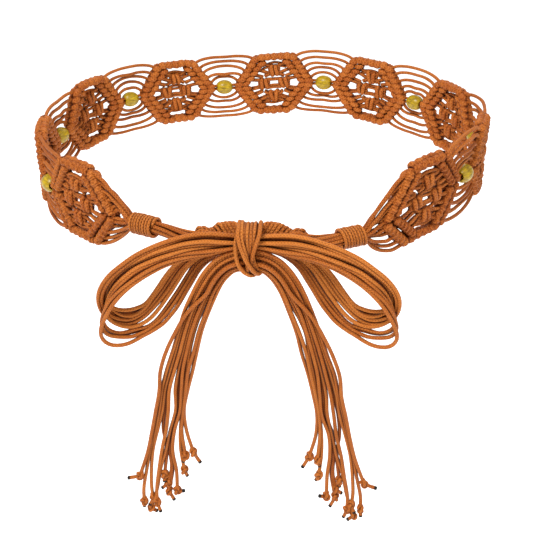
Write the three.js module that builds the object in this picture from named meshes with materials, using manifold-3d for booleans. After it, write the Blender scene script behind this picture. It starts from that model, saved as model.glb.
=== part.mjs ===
// A knotted cord belt in its worn form: nine hexagonal knotted panels round the waist, joined by
// fans of bare cords that carry wooden beads, and tied in front with a bow.
// Millimetres. +Z is up, the back of the belt is at +Y, the bow is at -Y, and the origin is the
// middle of the waist hollow at half the band's height.
import * as THREE from 'three';
import { mergeVertices } from 'three/addons/utils/BufferGeometryUtils.js';
import Module from 'manifold-3d';

const wasm = await Module();
wasm.setup();

// The waist line that the middle of the band follows
const WAIST_WIDTH = 262;
const WAIST_DEPTH = 242;
const LEFT_HIP_SWELL = 4;
const HIP_TURN = -2.04;
const HIP_SPREAD = 1.4;
const TURN_STEPS = 720;

// Cord, bead and clearances
const CORD = 2;
const BEAD_DIAMETER = 10;
const BEAD_BORE = 5.4;
const BEAD_SIDES = 12;
const BEAD_STEPS = 4;
const CLEARANCE = 0.3;

// Knotted panels
const PANEL_COUNT = 9;
const PITCHES_ROUND = 10.7376;
const TIP_GAP = 14;
const PANEL_FLAT = 28;
const BAND_HEIGHT = 45;
const RIDGE_WIDTH = 4.4;
const RIDGE_THICKNESS = 4.2;
const WEB_THICKNESS = 2.2;
const WEB_LOW = 0.2;
const WEB_HIGH = 0.78;
const KNOT_LENGTH = 7;
const KNOT_HEIGHT = 7.2;
const KNOT_THICKNESS = 5;
const KNOT_SPREAD_ALONG = 7.8;
const KNOT_SPREAD_UP = 7;
const EYE_LENGTH = 4.6;
const EYE_HEIGHT = 2.2;

// Fans of bare cords
const FAN_SEAM = 1.2;
const FAN_STATIONS = [-1, -0.4, 0.4, 1];
const BAND_OF_TWO = 2 * CORD;
const END_FAN_LENGTH = 9;
const END_FAN_STEPS = 3;
const NECK_LEAD = 3.6;
const NECK_LEAD_DEPTH = 2.9;
const NECK_DIAMETER = 7;
const NECK_SIDES = 8;

// Whipped collars and ties
const COLLAR_LENGTH = 15;
const COLLAR_TURNS = 4;
const COLLAR_DIAMETER = 11.4;
const COLLAR_SIDES = 10;
const COLLAR_GROOVE = 0.6;

// Bow
const BOW_CENTRE_X = -1;
const BOW_FORWARD = 131;
const BOW_TOP = 7.6;
const BOW_KNOT_LENGTH = 12.4;
const BOW_KNOT_HEIGHT = 30.4;
const BOW_KNOT_DEPTH = 15;
const BOW_KNOT_WALL = 3;
const BOW_KNOT_TURNS = 6;
const LEG_DIAMETER = 7.4;
const LEG_SIDES = 8;
const STRIP_SIDES = 4;
const LOOP_REACH = 76;
const LOOP_DROP = 56;
const TAIL_REACH = 60;
const TAIL_DROP = 160;
const TAIL_HEAD_DEPTH = 5.9;
const TAIL_HEAD_ROWS = 2;
const STRIP_ROOT_SPREAD = 0.8;
const STRIP_END_RUN = 0.1;
const END_KNOT_DIAMETER = 4.6;
const HALF_KNOT_LENGTH = 54;
const TIE_DEPTH = 5.8;
const TIE_LEAD = 3;

// How far the band rides up or down at places counted in panels from the middle of the back,
// the viewer's left negative, as shares of the band's height
const RIDE = [
  { place: -5.4, lift: -0.29 },
  { place: -4.6, lift: -0.15 },
  { place: -4, lift: -0.1 },
  { place: -3.5, lift: -0.15 },
  { place: -2.5, lift: -0.09 },
  { place: -2, lift: 0.01 },
  { place: -0.5, lift: -0.03 },
  { place: 0.5, lift: 0.07 },
  { place: 1.5, lift: 0.02 },
  { place: 2.5, lift: 0.01 },
  { place: 3.4, lift: 0.09 },
  { place: 4, lift: 0.03 },
  { place: 4.6, lift: -0.24 },
  { place: 5.4, lift: -0.29 },
];

// The cords of a half fan from the bead outwards: their heights on the panels' slanted edges and
// half way between them, as shares of half the band's height
const FAN_BARS = [
  { root: 0.19, middle: 0.36, cords: 2 },
  { root: 0.5, middle: 0.6, cords: 1 },
  { root: 0.7, middle: 0.77, cords: 1 },
  { root: 0.9, middle: 0.93, cords: 1 },
];

// The cords of half an end fan from the edge inwards: heights on the panel's slanted edge, as shares
// of half the band's height, and in the neck, as shares of its radius. A cord bows outwards on its
// way where bow is over 1, and its gap to the next cord starts and ends at shares of the way.
const END_FAN_CORDS = [
  { root: 0.93, neck: 0.75, bow: 1.6, starts: 0.24, ends: 0.75 },
  { root: 0.58, neck: 0.2, bow: 1.2, starts: 0.24, ends: 0.6 },
  { root: 0.2, neck: 0, bow: 1, starts: 0, ends: 0 },
];

// Centre line of a loop's free stretch from the knot out and back, with the width of its bundle.
// out is a share of LOOP_REACH, down of LOOP_DROP, front and both widths of LEG_DIAMETER.
const LOOP = [
  { out: 0.17, down: 0.0, front: 0.35, wide: 1.05, deep: 0.95 },
  { out: 0.28, down: 0.03, front: 0.8, wide: 1.35, deep: 0.9 },
  { out: 0.41, down: 0.09, front: 1.15, wide: 1.7, deep: 0.8 },
  { out: 0.58, down: 0.18, front: 1.3, wide: 1.75, deep: 0.8 },
  { out: 0.75, down: 0.32, front: 1.25, wide: 1.55, deep: 0.8 },
  { out: 0.9, down: 0.53, front: 1.0, wide: 1.25, deep: 0.9 },
  { out: 0.97, down: 0.75, front: 0.65, wide: 1.15, deep: 0.95 },
  { out: 0.91, down: 0.93, front: 0.2, wide: 1.3, deep: 0.9 },
  { out: 0.79, down: 0.95, front: -0.15, wide: 1.8, deep: 0.8 },
  { out: 0.65, down: 0.8, front: -0.3, wide: 2.0, deep: 0.8 },
  { out: 0.5, down: 0.59, front: -0.45, wide: 1.8, deep: 0.8 },
  { out: 0.36, down: 0.37, front: -0.5, wide: 1.4, deep: 0.8 },
  { out: 0.23, down: 0.175, front: -0.45, wide: 1.0, deep: 0.85 },
];

// Centre line of a tail's hanging stretch and the half width that its cords spread over.
// out and spread are shares of TAIL_REACH, down of TAIL_DROP, front of LEG_DIAMETER.
const TAIL = [
  { out: 0.23, down: 0.055, front: 0.45, spread: 0.06 },
  { out: 0.4, down: 0.125, front: 0.5, spread: 0.09 },
  { out: 0.5, down: 0.244, front: 0.4, spread: 0.11 },
  { out: 0.63, down: 0.39, front: 0.2, spread: 0.12 },
  { out: 0.725, down: 0.575, front: 0.0, spread: 0.14 },
  { out: 0.77, down: 0.72, front: -0.1, spread: 0.2 },
  { out: 0.82, down: 0.83, front: -0.1, spread: 0.22 },
];

// The half knot from the viewer's left to right: how high it stands and how far it spreads, as
// shares of LEG_DIAMETER
const HALF_KNOT_RISE = [-0.55, -0.52, -0.1, 0.12, -0.1, -0.52, -0.55];
const HALF_KNOT_SPREAD = [0.9, 1.5, 1.8, 1.7, 1.8, 1.5, 0.9];

// The six strips of a tail, two cords to each: the lane that a strip hangs in, from -1 at the outer
// side to 1 at the inner side, and where its shorter and its longer cord end in an overhand knot
const TAIL_STRIPS = [
  { lane: 1.0, front: 0.3, shortDown: 0.74, longOut: 0.655, longDown: 0.912 },
  { lane: 0.6, front: -0.4, shortDown: 0.76, longOut: 0.63, longDown: 0.835 },
  { lane: 0.25, front: 0.4, shortDown: 0.838, longOut: 0.745, longDown: 0.928 },
  { lane: -0.1, front: -0.4, shortDown: 0.93, longOut: 0.75, longDown: 0.972 },
  { lane: -0.5, front: 0.4, shortDown: 0.853, longOut: 0.96, longDown: 1.0 },
  { lane: -1.0, front: -0.1, shortDown: 0.857, longOut: 1.03, longDown: 0.98 },
];

const CORD_FINISH = { color: 0xc46d33, roughness: 0.72, metalness: 0 };
const BEAD_FINISH = { color: 0xa8912c, roughness: 0.4, metalness: 0 };

// The waist line as a table of points by distance from the middle of the back
const waist = [];
for (let i = 0; i <= TURN_STEPS; i++) {
  const turn = -Math.PI + (2 * Math.PI * i) / TURN_STEPS;
  const swell = Math.max(0, Math.cos((turn - HIP_TURN) * HIP_SPREAD));
  const x = (WAIST_WIDTH / 2) * Math.sin(turn) - LEFT_HIP_SWELL * swell * swell;
  const y = (WAIST_DEPTH / 2) * Math.cos(turn);
  const last = waist[i - 1];
  waist.push({ x, y, run: last ? last.run + Math.hypot(x - last.x, y - last.y) : 0 });
}
const backRun = waist[TURN_STEPS / 2].run;

// The waist line is PITCHES_ROUND panel pitches long; a pitch is a panel and the gap between tips
const panelPitch = waist[TURN_STEPS].run / PITCHES_ROUND;
const panelLength = panelPitch - TIP_GAP;

function rideAt(along) {
  const place = along / panelPitch;
  const next = RIDE.findIndex((row) => row.place > place);
  if (next === 0) return RIDE[0].lift * BAND_HEIGHT;
  if (next < 0) return RIDE[RIDE.length - 1].lift * BAND_HEIGHT;
  const [a, b] = [RIDE[next - 1], RIDE[next]];
  const share = (place - a.place) / (b.place - a.place);
  const eased = share * share * (3 - 2 * share);
  return (a.lift + (b.lift - a.lift) * eased) * BAND_HEIGHT;
}

// A point of the belt: along the waist line, up from the band's middle, out from its surface
function onBelt(along, up, out) {
  const run = along + backRun;
  let low = 0;
  let high = TURN_STEPS;
  while (high - low > 1) {
    const mid = (low + high) >> 1;
    if (waist[mid].run > run) high = mid;
    else low = mid;
  }
  const [a, b] = [waist[low], waist[high]];
  const step = b.run - a.run;
  const share = (run - a.run) / step;
  const [tx, ty] = [(b.x - a.x) / step, (b.y - a.y) / step];
  const x = a.x + (b.x - a.x) * share - ty * out;
  const y = a.y + (b.y - a.y) * share + tx * out;
  return new THREE.Vector3(x, y, up + rideAt(along));
}

function welded(geometry) {
  geometry.deleteAttribute('normal');
  geometry.deleteAttribute('uv');
  return mergeVertices(geometry, 1e-4);
}

// Lays flat work on the belt: x runs along it, y up it and z towards the wearer
function bent(geometry, along) {
  const flat = welded(geometry);
  const place = flat.getAttribute('position');
  for (let i = 0; i < place.count; i++) {
    const p = onBelt(along + place.getX(i), place.getY(i), -place.getZ(i));
    place.setXYZ(i, p.x, p.y, p.z);
  }
  return flat;
}

function toSolid(geometry) {
  const closed = geometry.getAttribute('normal') ? welded(geometry) : geometry;
  return new wasm.Manifold(new wasm.Mesh({
    numProp: 3,
    vertProperties: Float32Array.from(closed.getAttribute('position').array),
    triVerts: Uint32Array.from(closed.getIndex().array),
  }));
}

function toGeometry(solid) {
  const mesh = solid.getMesh();
  const geometry = new THREE.BufferGeometry();
  geometry.setAttribute('position', new THREE.BufferAttribute(mesh.vertProperties, 3));
  geometry.setIndex(new THREE.BufferAttribute(mesh.triVerts, 1));
  geometry.computeVertexNormals();
  return geometry;
}

function joined(geometries) {
  return toGeometry(geometries.map(toSolid).reduce((whole, piece) => whole.add(piece)));
}

function piece(name, geometry, finish) {
  const mesh = new THREE.Mesh(geometry, new THREE.MeshStandardMaterial(finish));
  mesh.name = name;
  if (!geometry.getAttribute('normal')) geometry.computeVertexNormals();
  return mesh;
}

// A flat plate of a given thickness, centred on the band's surface
function plate(shape, thickness) {
  const geometry = new THREE.ExtrudeGeometry(shape, { depth: thickness, bevelEnabled: false });
  return geometry.translate(0, 0, -thickness / 2);
}

// A closed outline, turned anticlockwise so that holes of either turn are cut alike
function outline(points) {
  const corners = points.map(([x, y]) => new THREE.Vector2(x, y));
  return new THREE.Shape(THREE.ShapeUtils.isClockWise(corners) ? corners.reverse() : corners);
}

function hole(points) {
  return new THREE.Path(points.map(([x, y]) => new THREE.Vector2(x, y)));
}

// The slanted edge of a panel runs from its tip to the end of its flat top
const slantRun = (panelLength - PANEL_FLAT) / 2;
const halfBand = BAND_HEIGHT / 2;
const slantLength = Math.hypot(slantRun, halfBand);
const sideways = slantLength / halfBand;

// A panel's hexagon, drawn in by inset on every side
function hexagon(inset) {
  const tip = panelLength / 2 - inset * sideways;
  const top = halfBand - inset;
  const corner = tip - (slantRun * top) / halfBand;
  return [
    [tip, 0], [corner, top], [0, top], [-corner, top],
    [-tip, 0], [-corner, -top], [0, -top], [corner, -top],
  ];
}

// The closed frame of two hitched ridges round a panel
function frame() {
  const shape = outline(hexagon(0));
  shape.holes.push(hole(hexagon(2 * RIDGE_WIDTH)));
  return plate(shape, RIDGE_THICKNESS);
}

// Four square knots, set above, below and on both sides of an open eye
function knots() {
  const [halfLength, halfHeight] = [KNOT_LENGTH / 2, KNOT_HEIGHT / 2];
  const [end, top] = [KNOT_SPREAD_ALONG + halfLength, KNOT_SPREAD_UP + halfHeight];
  const quarter = [[halfLength, top], [halfLength, halfHeight], [end, halfHeight]];
  const half = [...quarter, ...quarter.map(([x, y]) => [x, -y]).reverse()];
  const shape = outline([...half, ...half.map(([x, y]) => [-x, -y])]);
  const [eyeX, eyeY] = [EYE_LENGTH / 2, EYE_HEIGHT / 2];
  shape.holes.push(hole([[eyeX, 0], [0, eyeY], [-eyeX, 0], [0, -eyeY]]));
  return plate(shape, KNOT_THICKNESS);
}

// The cords between the knots and one slanted side of the frame
function web(right, up) {
  const inner = hexagon(2 * RIDGE_WIDTH - CORD / 2);
  const [[tip], [corner, top]] = inner;
  const onFrame = (share) => [tip + (corner - tip) * share, top * share];
  const sunk = CORD / 2;
  const points = [
    onFrame(WEB_LOW), onFrame(WEB_HIGH),
    [KNOT_LENGTH / 2 - sunk, KNOT_SPREAD_UP + KNOT_HEIGHT / 4],
    [KNOT_SPREAD_ALONG + KNOT_LENGTH / 4, KNOT_HEIGHT / 2 - sunk],
  ];
  return plate(outline(points.map(([x, y]) => [right * x, up * y])), WEB_THICKNESS);
}

function panel(along) {
  const flat = [frame(), knots(), web(1, 1), web(-1, 1), web(1, -1), web(-1, -1)];
  return joined(flat.map((geometry) => bent(geometry, along)));
}

// The middle of a gap between panels is x = 0; tipGap is half the space between two tips
const tipGap = TIP_GAP / 2;

// Half the length that a fan has at a height, up to margin from the panels' slanted edges
function fanReach(up, margin) {
  return tipGap + (Math.abs(up) * slantRun) / halfBand - margin * sideways;
}

// One long edge of a cord bar: heights at the two roots and at two stations between
function barEdge(root, middle, margin) {
  return FAN_STATIONS.map((station) => {
    const up = Math.abs(station) === 1 ? root : middle;
    return [station * fanReach(up, margin), up];
  });
}

function fan(along) {
  const edges = FAN_BARS.map(({ root, middle, cords }) => {
    const half = (cords * CORD) / 2;
    return {
      low: { root: root * halfBand - half, middle: middle * halfBand - half },
      high: { root: root * halfBand + half, middle: middle * halfBand + half },
    };
  });
  const last = edges[edges.length - 1].high;
  const tipLow = fanReach(0, CLEARANCE);
  const top = barEdge(last.root, last.middle, CLEARANCE);
  const bottom = top.map(([x, y]) => [x, -y]).reverse();
  const shape = outline([[-tipLow, 0], ...top, [tipLow, 0], ...bottom]);
  const margin = CLEARANCE + FAN_SEAM;
  edges.forEach((edge, i) => {
    const below = i === 0 ? { root: CORD, middle: CORD } : edges[i - 1].high;
    const lower = barEdge(below.root, below.middle, margin);
    const upper = barEdge(edge.low.root, edge.low.middle, margin).reverse();
    const slot = i === 0
      ? [lower[0], lower[3], upper[1], upper[2]]
      : [...lower, ...upper];
    shape.holes.push(hole(slot));
    shape.holes.push(hole(slot.map(([x, y]) => [x, -y])));
  });
  return bent(plate(shape, WEB_THICKNESS), along);
}

// A drilled bead, turned about the band's direction
function bead(along) {
  const radius = BEAD_DIAMETER / 2;
  const bore = BEAD_BORE / 2;
  const start = Math.asin(bore / radius);
  const profile = [];
  for (let i = 0; i <= BEAD_STEPS; i++) {
    const angle = start + ((Math.PI - 2 * start) * i) / BEAD_STEPS;
    profile.push(new THREE.Vector2(radius * Math.sin(angle), -radius * Math.cos(angle)));
  }
  profile.push(profile[0].clone());
  const geometry = new THREE.LatheGeometry(profile, BEAD_SIDES);
  const before = onBelt(along - 1, 0, 0);
  const after = onBelt(along + 1, 0, 0);
  const axis = after.sub(before).normalize();
  geometry.applyQuaternion(new THREE.Quaternion().setFromUnitVectors(new THREE.Vector3(0, 1, 0), axis));
  const centre = onBelt(along, 0, 0);
  return welded(geometry.translate(centre.x, centre.y, centre.z));
}

// A bundle of cords: a rounded section carried along a line, row by row. A row's deep width points
// towards the viewer as far as the line lets it, and its wide one lies across both.
const TOWARDS_VIEWER = new THREE.Vector3(0, -1, 0);
function bundle(rows, sides) {
  const line = new THREE.CatmullRomCurve3(rows.map((row) => row.at), false, 'centripetal');
  const steps = rows.length - 1;
  const corner = 1 / Math.cos(Math.PI / sides);
  const tube = new THREE.CylinderGeometry(corner, corner, 1, sides, steps, false, Math.PI / sides);
  const geometry = welded(tube);
  const place = geometry.getAttribute('position');
  for (let i = 0; i < place.count; i++) {
    const share = Math.min(1, Math.max(0, place.getY(i) + 0.5));
    const row = rows[Math.round(share * steps)];
    const along = line.getTangent(share);
    const deepWay = TOWARDS_VIEWER.clone().projectOnPlane(along).normalize();
    const wideWay = new THREE.Vector3().crossVectors(along, deepWay);
    const p = row.at.clone()
      .addScaledVector(wideWay, (place.getX(i) * row.wide) / 2)
      .addScaledVector(deepWay, (place.getZ(i) * row.deep) / 2);
    place.setXYZ(i, p.x, p.y, p.z);
  }
  return geometry;
}

// Where the collars sit, and where the two ties meet in front
const collarStart = ((PANEL_COUNT - 1) / 2) * panelPitch + panelLength / 2 + END_FAN_LENGTH;
const collarEnd = collarStart + COLLAR_LENGTH;
const neckEnd = collarEnd + CLEARANCE * 4;
const tieStart = neckEnd + CLEARANCE * 1.5;

// The cords of an end panel, drawn together into the neck that the collar wraps.
// side is 1 on the viewer's right and -1 on the left.
function endFan(side) {
  const lastPanel = ((PANEL_COUNT - 1) / 2) * panelPitch;
  const neckAt = collarStart - lastPanel;
  const neck = NECK_DIAMETER / 2;
  // A point beside a cord's line: share runs from the panel's edge to the neck
  const beside = (cord, share, offset) => {
    const root = END_FAN_CORDS[cord].root * halfBand;
    const from = panelLength / 2 + CLEARANCE * sideways - (root * slantRun) / halfBand;
    const drawn = share ** END_FAN_CORDS[cord].bow;
    const up = root + (neck * END_FAN_CORDS[cord].neck - root) * drawn + offset;
    return [side * (from + (neckAt - from) * share), up];
  };
  const half = CORD / 2;
  const upper = [];
  for (let step = 0; step <= END_FAN_STEPS; step++) upper.push(beside(0, step / END_FAN_STEPS, half));
  const tip = [side * (panelLength / 2 + CLEARANCE * sideways), 0];
  const shape = outline([tip, ...upper, ...upper.map(([x, y]) => [x, -y]).reverse()]);
  for (let cord = 0; cord < END_FAN_CORDS.length - 1; cord++) {
    const { starts, ends } = END_FAN_CORDS[cord];
    const shares = [starts, (starts + ends) / 2, ends];
    const high = shares.map((share) => beside(cord, share, -half));
    const low = shares.map((share) => beside(cord + 1, share, half));
    const slot = [...low, ...high.reverse()];
    shape.holes.push(hole(slot));
    shape.holes.push(hole(slot.map(([x, y]) => [x, -y])));
  }
  const fanPlate = bent(plate(shape, WEB_THICKNESS), side * lastPanel);
  const stations = [neckAt - NECK_LEAD, neckAt, neckEnd - lastPanel];
  const depths = [NECK_LEAD_DEPTH, NECK_DIAMETER, NECK_DIAMETER];
  const rows = stations.map((station, i) => ({
    at: onBelt(side * (lastPanel + station), 0, 0), wide: NECK_DIAMETER, deep: depths[i],
  }));
  return joined([fanPlate, bundle(rows, NECK_SIDES)]);
}

// The whipping round the neck: a sleeve of rounded turns
function collar(side) {
  const neckCorner = NECK_DIAMETER / 2 / Math.cos(Math.PI / NECK_SIDES);
  const bore = (neckCorner + CLEARANCE) / Math.cos(Math.PI / COLLAR_SIDES);
  const crest = COLLAR_DIAMETER / 2;
  const valley = crest - COLLAR_GROOVE;
  const pitch = (COLLAR_LENGTH - 2 * CLEARANCE) / COLLAR_TURNS;
  const start = -(COLLAR_LENGTH / 2) + CLEARANCE;
  const profile = [new THREE.Vector2(bore, start)];
  for (let turn = 0; turn < COLLAR_TURNS; turn++) {
    profile.push(new THREE.Vector2(valley, start + pitch * turn));
    profile.push(new THREE.Vector2(crest, start + pitch * (turn + 0.5)));
  }
  profile.push(new THREE.Vector2(valley, -start));
  profile.push(new THREE.Vector2(bore, -start));
  profile.push(profile[0].clone());
  const geometry = new THREE.LatheGeometry(profile, COLLAR_SIDES);
  const [from, to] = [onBelt(side * collarStart, 0, 0), onBelt(side * neckEnd, 0, 0)];
  const axis = to.clone().sub(from).normalize();
  geometry.applyQuaternion(new THREE.Quaternion().setFromUnitVectors(new THREE.Vector3(0, 1, 0), axis));
  const centre = from.addScaledVector(axis, COLLAR_LENGTH / 2);
  return welded(geometry.translate(centre.x, centre.y, centre.z));
}

// The first crossing of the ties: an arched, spread bundle behind the bow knot
const halfKnotY = -BOW_FORWARD + BOW_KNOT_DEPTH / 2 + TIE_DEPTH / 2 + CLEARANCE;
function halfKnot() {
  const rows = HALF_KNOT_RISE.map((share, i) => {
    const place = i / (HALF_KNOT_RISE.length - 1) - 0.5;
    const at = new THREE.Vector3(BOW_CENTRE_X + HALF_KNOT_LENGTH * place, halfKnotY, share * LEG_DIAMETER);
    return { at, wide: HALF_KNOT_SPREAD[i] * LEG_DIAMETER, deep: TIE_DEPTH };
  });
  return bundle(rows, LEG_SIDES);
}

// The cords between a neck and the half knot, leaving each of them straight
function tie(side) {
  const from = onBelt(side * tieStart, 0, 0);
  const onward = onBelt(side * (tieStart + TIE_LEAD), 0, 0);
  const to = new THREE.Vector3(
    BOW_CENTRE_X + side * (HALF_KNOT_LENGTH / 2 + CLEARANCE), halfKnotY, HALF_KNOT_RISE[0] * LEG_DIAMETER,
  );
  const before = to.clone().setX(to.x + side * TIE_LEAD);
  return bundle([from, onward, before, to].map((at) => (
    { at, wide: LEG_DIAMETER, deep: TIE_DEPTH }
  )), LEG_SIDES);
}

// The band of turns that holds the bow: open along x, where loops and tails pass through
function stadium(halfDeep, halfTall) {
  const straight = halfTall - halfDeep;
  const points = [];
  for (const end of [1, -1]) {
    for (let i = 0; i <= BOW_KNOT_TURNS; i++) {
      const angle = (Math.PI * i) / BOW_KNOT_TURNS;
      points.push([end * halfDeep * Math.cos(angle), end * (straight + halfDeep * Math.sin(angle))]);
    }
  }
  return points;
}

const bowMiddle = BOW_TOP - BOW_KNOT_HEIGHT / 2;
const hollowHalfTall = BOW_KNOT_HEIGHT / 2 - BOW_KNOT_WALL;
const legStep = LEG_DIAMETER + CLEARANCE;
const topLeg = bowMiddle + legStep;
const lowLeg = bowMiddle - legStep;

function bowKnot() {
  const shape = outline(stadium(BOW_KNOT_DEPTH / 2, BOW_KNOT_HEIGHT / 2));
  shape.holes.push(hole(stadium(BOW_KNOT_DEPTH / 2 - BOW_KNOT_WALL, hollowHalfTall)));
  const geometry = new THREE.ExtrudeGeometry(shape, { depth: BOW_KNOT_LENGTH, bevelEnabled: false });
  geometry.translate(0, 0, -BOW_KNOT_LENGTH / 2);
  geometry.applyMatrix4(new THREE.Matrix4().makeBasis(
    new THREE.Vector3(0, 1, 0), new THREE.Vector3(0, 0, 1), new THREE.Vector3(1, 0, 0),
  ));
  return welded(geometry.translate(BOW_CENTRE_X, -BOW_FORWARD, bowMiddle));
}

// The rows of a bundle inside the knot's hollow, from its middle to just past its mouth
function insideKnot(side, height) {
  return [CLEARANCE, BOW_KNOT_LENGTH / 2, BOW_KNOT_LENGTH / 2 + CORD].map((out) => ({
    at: new THREE.Vector3(BOW_CENTRE_X + side * out, -BOW_FORWARD, height),
    wide: LEG_DIAMETER,
    deep: LEG_DIAMETER,
  }));
}

function bowLoop(side) {
  const free = LOOP.map((row) => ({
    at: new THREE.Vector3(
      BOW_CENTRE_X + side * LOOP_REACH * row.out,
      -BOW_FORWARD - LEG_DIAMETER * row.front,
      topLeg - LOOP_DROP * row.down,
    ),
    wide: LEG_DIAMETER * row.wide,
    deep: LEG_DIAMETER * row.deep,
  }));
  const rows = [...insideKnot(side, topLeg), ...free, ...insideKnot(side, bowMiddle).reverse()];
  return bundle(rows, LEG_SIDES);
}

// A tail: a head that comes out of the bow knot, strips of two cords hanging from it, and the
// overhand knots at their ends
function bowTail(side) {
  const point = (out, down, front) => new THREE.Vector3(
    BOW_CENTRE_X + side * TAIL_REACH * out,
    -BOW_FORWARD - LEG_DIAMETER * front,
    lowLeg - TAIL_DROP * down,
  );
  const headEnd = TAIL.slice(0, TAIL_HEAD_ROWS).map((row) => ({
    at: point(row.out, row.down, row.front),
    wide: 2 * TAIL_REACH * row.spread + CORD,
    deep: TAIL_HEAD_DEPTH,
  }));
  const pieces = TAIL_STRIPS.flatMap(({ lane, front, shortDown, longOut, longDown }) => {
    const hanging = TAIL.filter((row) => row.down < longDown - STRIP_END_RUN);
    const middle = hanging.map((row, i) => (
      point(row.out, row.down, row.front + (front * i) / hanging.length)
    ));
    const rows = middle.map((at, i) => {
      const next = middle[Math.min(i + 1, middle.length - 1)];
      const last = middle[Math.max(i - 1, 0)];
      const inner = new THREE.Vector3((next.z - last.z) * side, 0, (last.x - next.x) * side).normalize();
      const aside = lane * TAIL_REACH * hanging[i].spread * (i === 0 ? STRIP_ROOT_SPREAD : 1);
      return { at: at.clone().addScaledVector(inner, aside), wide: BAND_OF_TWO, deep: CORD };
    });
    rows.push({ at: point(longOut, longDown, front), wide: CORD, deep: CORD });
    const stops = [rows[rows.length - 1].at, atHeight(rows, lowLeg - TAIL_DROP * shortDown)];
    const endKnots = stops.map((at) => {
      const ball = new THREE.IcosahedronGeometry(END_KNOT_DIAMETER / 2, 0);
      return welded(ball.translate(at.x, at.y, at.z));
    });
    return [bundle(rows, STRIP_SIDES), ...endKnots];
  });
  return joined([bundle([...insideKnot(side, lowLeg), ...headEnd], LEG_SIDES), ...pieces]);
}

// The point of a falling line of rows at a height
function atHeight(rows, height) {
  const next = Math.max(1, rows.findIndex((row) => row.at.z <= height));
  const [above, below] = [rows[next - 1].at, rows[next].at];
  return above.clone().lerp(below, (above.z - height) / (above.z - below.z));
}

const belt = new THREE.Group();
for (let index = 0; index < PANEL_COUNT; index++) {
  const along = (index - (PANEL_COUNT - 1) / 2) * panelPitch;
  belt.add(piece(`panel_${index + 1}`, panel(along), CORD_FINISH));
  if (index < PANEL_COUNT - 1) {
    const middle = along + panelPitch / 2;
    belt.add(piece(`fan_${index + 1}`, fan(middle), CORD_FINISH));
    belt.add(piece(`bead_${index + 1}`, bead(middle), BEAD_FINISH));
  }
}
belt.add(piece('half_knot', halfKnot(), CORD_FINISH));
belt.add(piece('bow_knot', bowKnot(), CORD_FINISH));
for (const [side, word] of [[-1, 'left'], [1, 'right']]) {
  belt.add(piece(`end_fan_${word}`, endFan(side), CORD_FINISH));
  belt.add(piece(`collar_${word}`, collar(side), CORD_FINISH));
  belt.add(piece(`tie_${word}`, tie(side), CORD_FINISH));
  belt.add(piece(`bow_loop_${word}`, bowLoop(side), CORD_FINISH));
  belt.add(piece(`bow_tail_${word}`, bowTail(side), CORD_FINISH));
}

export default belt;
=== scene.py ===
"""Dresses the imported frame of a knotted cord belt: every cord, hitch, knot and bead by itself.

Sizes are in millimetres until a mesh is made. +Z is up, the back of the belt is at +Y and the bow is
at -Y. Flat work is laid out along the belt, up it and out from it, and then bent round the waist.
"""

from __future__ import annotations

import logging
import math
from dataclasses import dataclass, field
from enum import Enum

import bpy
import numpy as np
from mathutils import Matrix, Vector
from mathutils.kdtree import KDTree

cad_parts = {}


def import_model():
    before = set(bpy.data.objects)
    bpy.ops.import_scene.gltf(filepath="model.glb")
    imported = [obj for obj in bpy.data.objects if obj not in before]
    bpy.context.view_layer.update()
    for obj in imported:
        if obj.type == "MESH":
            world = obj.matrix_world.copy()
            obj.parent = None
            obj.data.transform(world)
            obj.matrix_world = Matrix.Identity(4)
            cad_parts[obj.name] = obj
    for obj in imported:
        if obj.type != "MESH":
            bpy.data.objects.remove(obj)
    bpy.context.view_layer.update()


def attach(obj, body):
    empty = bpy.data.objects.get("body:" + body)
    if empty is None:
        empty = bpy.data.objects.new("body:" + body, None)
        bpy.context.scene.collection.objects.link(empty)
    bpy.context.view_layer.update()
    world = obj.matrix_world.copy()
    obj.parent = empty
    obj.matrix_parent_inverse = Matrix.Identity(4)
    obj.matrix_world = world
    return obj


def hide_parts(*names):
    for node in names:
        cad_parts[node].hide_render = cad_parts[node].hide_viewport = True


# A spot is a place on flat work, or a place seen from in front; a span is the two ends of a range.
Spot = tuple[float, float]
Span = tuple[float, float]
Place = tuple[float, float, float]
Colour = tuple[float, float, float, float]

LOG = logging.getLogger("belt")
MM = 0.001
BODY = "root"
CURVE_STEPS = 14
WHITE: Colour = (1, 1, 1, 1)


class Side(Enum):
    """A side of the belt, as the viewer in front of it sees it."""

    LEFT = -1
    RIGHT = 1

    @property
    def word(self) -> str:
        """The side's name in node names."""
        return self.name.lower()


class Slot(Enum):
    """The material slots: which finish a piece takes."""

    CORD = "cord"
    BEAD = "bead"


# Curves


def rounded(points: np.ndarray, spacing: float) -> np.ndarray:
    """A smooth curve through points, in even steps.

    Args:
        points: The points that the curve passes through, one row each.
        spacing: The length of a step, in the points' unit.

    Returns:
        The points of the curve, one row each.
    """
    points = np.asarray(points, float)
    gaps = np.sqrt(np.linalg.norm(np.diff(points, axis=0), axis=1))
    knots = np.concatenate([[0.0], np.cumsum(np.maximum(gaps, 1e-6))])
    steps = np.diff(knots)[:, None]
    slopes = np.diff(points, axis=0) / steps
    middle = (slopes[1:] * steps[:-1] + slopes[:-1] * steps[1:]) / (steps[1:] + steps[:-1])
    tangents = np.vstack([slopes[:1], middle, slopes[-1:]])
    fine = np.linspace(0, knots[-1], CURVE_STEPS * len(knots))
    span = np.clip(np.searchsorted(knots, fine, side="right") - 1, 0, len(steps) - 1)
    size = steps[span]
    at = (fine - knots[span])[:, None] / size
    curve = (
        points[span] * (2 * at**3 - 3 * at**2 + 1)
        + tangents[span] * (at**3 - 2 * at**2 + at) * size
        + points[span + 1] * (3 * at**2 - 2 * at**3)
        + tangents[span + 1] * (at**3 - at**2) * size
    )
    runs = run_along(curve)
    count = max(3, int(round(runs[-1] / spacing)) + 1)
    return read_off(np.linspace(0, runs[-1], count), runs, curve)


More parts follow.
